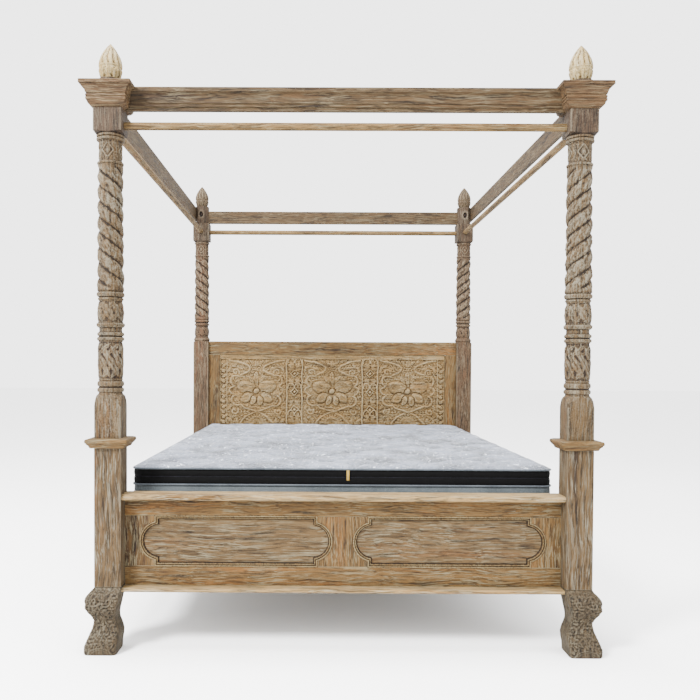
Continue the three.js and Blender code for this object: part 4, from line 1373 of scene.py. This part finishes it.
def bolt(name, x, y, direction, radius):
    """A domed bolt head seated at the bottom of its recess."""
    turn = math.atan2(direction[1], direction[0])
    c, s = math.cos(turn), math.sin(turn)
    rings = []
    for out, r in ((-6, radius), (0, radius), (1.2, radius * 0.86), (2.0, radius * 0.5)):
        ring = [(x + out * c - r * math.cos(a) * s, y + out * s + r * math.cos(a) * c, BOLT_Z + r * math.sin(a))
                for a in np.linspace(0, 2 * math.pi, 20, endpoint=False)]
        rings.append(ring)
    made = lofted(name, np.array(rings), sharp=40, materials=[IRON])
    return fitted(made, "bedstead", "bolt_metal")


for side_name, side in SIDES:
    x, y = POST_AXIS["rear", side_name]
    bolt(f"bolt_front_{side_name}", x, y - CORE["half"] + 7.5, (0, -1), 6.5)
    bolt(f"bolt_inner_{side_name}", x - side * (CORE["half"] - 5.5), y, (-side, 0), 4.5)


# ------------------------------------------------------------------ CAD boards that stay
def dress(nodes, slot, grain, width=1.6):
    """Gives CAD boards their wood, and rounds their edges into a paler, rubbed arris."""
    for node in nodes:
        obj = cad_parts[node]
        for k in range(len(obj.material_slots)):
            obj.material_slots[k].material = wood(slot, grain)
        obj.data.materials.append(wood(slot, grain, worn=True))
        weld = obj.modifiers.new("weld", "WELD")
        weld.merge_threshold = 1e-5
        bevel = obj.modifiers.new("arris", "BEVEL")
        bevel.width = width * MM
        bevel.segments = 2
        bevel.limit_method = "ANGLE"
        bevel.angle_limit = math.radians(34)
        bevel.material = len(obj.material_slots) - 1
        normals = obj.modifiers.new("normals", "WEIGHTED_NORMAL")
        normals.keep_sharp = False


def both(name):
    """The left and right node of a name."""
    return [f"{name}_{side}" for side, _ in SIDES]


dress(both("lower_post_front"), "teak_posts", 2, 2.0)
dress(["canopy_rail_front", "canopy_rail_rear"], "teak_canopy", 0, 1.0)
dress(both("canopy_rail"), "teak_canopy", 1, 1.0)
dress(["footboard_top_rail", "footboard_bottom_rail"], "teak_frame", 0)
dress(["footboard_centre_stile", *both("footboard_stile")], "teak_frame", 2, 0.8)
dress(both("footboard_panel"), "teak_panels", 0, 0.6)
dress(["headboard_top_rail", "headboard_bottom_rail", "head_end_rail"], "teak_frame", 0)
dress(both("headboard_stile"), "teak_frame", 2)
dress(both("side_rail"), "teak_frame", 1)
dress([*both("slat_cleat"), "centre_beam"], "slat_wood", 1)
dress(["centre_leg"], "slat_wood", 2)
dress([f"slat_{k}" for k in range(1, 10)], "slat_wood", 0)


# ------------------------------------------------------------------ stage, light and camera
def white(name, level):
    """The plain matt white of the studio floor."""
    t = Tree(name)
    t.surface(Base_Color=(level, level, level, 1), Roughness=0.9, Specular_IOR_Level=0.1)
    return t.material


FLOOR_HALF = 30
WORLD_STRENGTH = 3.8
floor_mesh = bpy.data.meshes.new("floor")
floor_corners = [(FLOOR_HALF * a, FLOOR_HALF * b, 0) for a, b in ((-1, -1), (1, -1), (1, 1), (-1, 1))]
floor_mesh.from_pydata(floor_corners, [], [(0, 1, 2, 3)])
floor_mesh.materials.append(white("floor_white", 0.9))
floor = bpy.data.objects.new("floor", floor_mesh)
bpy.context.scene.collection.objects.link(floor)

world = bpy.data.worlds.new("studio")
world.use_nodes = True
world.node_tree.nodes["Background"].inputs["Color"].default_value = (1, 1, 1, 1)
world.node_tree.nodes["Background"].inputs["Strength"].default_value = WORLD_STRENGTH
bpy.context.scene.world = world


def area_light(name, location, target, size, power):
    """A round area light aimed at a point."""
    data = bpy.data.lights.new(name, "AREA")
    data.shape = "DISK"
    data.size = size
    data.energy = power
    light = bpy.data.objects.new(name, data)
    direction = np.array(target) - np.array(location)
    light.location = location
    yaw = math.atan2(direction[1], direction[0]) - math.pi / 2
    pitch = math.atan2(direction[2], math.hypot(direction[0], direction[1]))
    light.rotation_euler = (math.pi / 2 + pitch, 0, yaw)
    bpy.context.scene.collection.objects.link(light)


area_light("key", (-3.4, -4.4, 4.4), (0, 0, 0.8), 1.6, 1500)
area_light("overhead", (-0.6, -0.6, 5.4), (0, 0, 0.4), 3.0, 700)
area_light("fill", (3.6, -3.6, 2.6), (0, 0, 0.9), 3.0, 150)

# The camera is the one fitted to the photo.
camera_data = bpy.data.cameras.new("camera")
camera_data.sensor_width = 36
camera_data.lens = 39.62
camera_data.shift_x = 0.0509
camera_data.shift_y = 0.0463
camera = bpy.data.objects.new("camera", camera_data)
camera.location = (-0.0922, -3.7617, 0.9983)
# Its turn, tilt and roll, in radians.
camera.rotation_euler = (Matrix.Rotation(0.003936, 3, "Z") @ Matrix.Rotation(math.pi / 2 - 0.02075, 3, "X")
                         @ Matrix.Rotation(0.004852, 3, "Z")).to_euler()
bpy.context.scene.collection.objects.link(camera)
bpy.context.scene.camera = camera
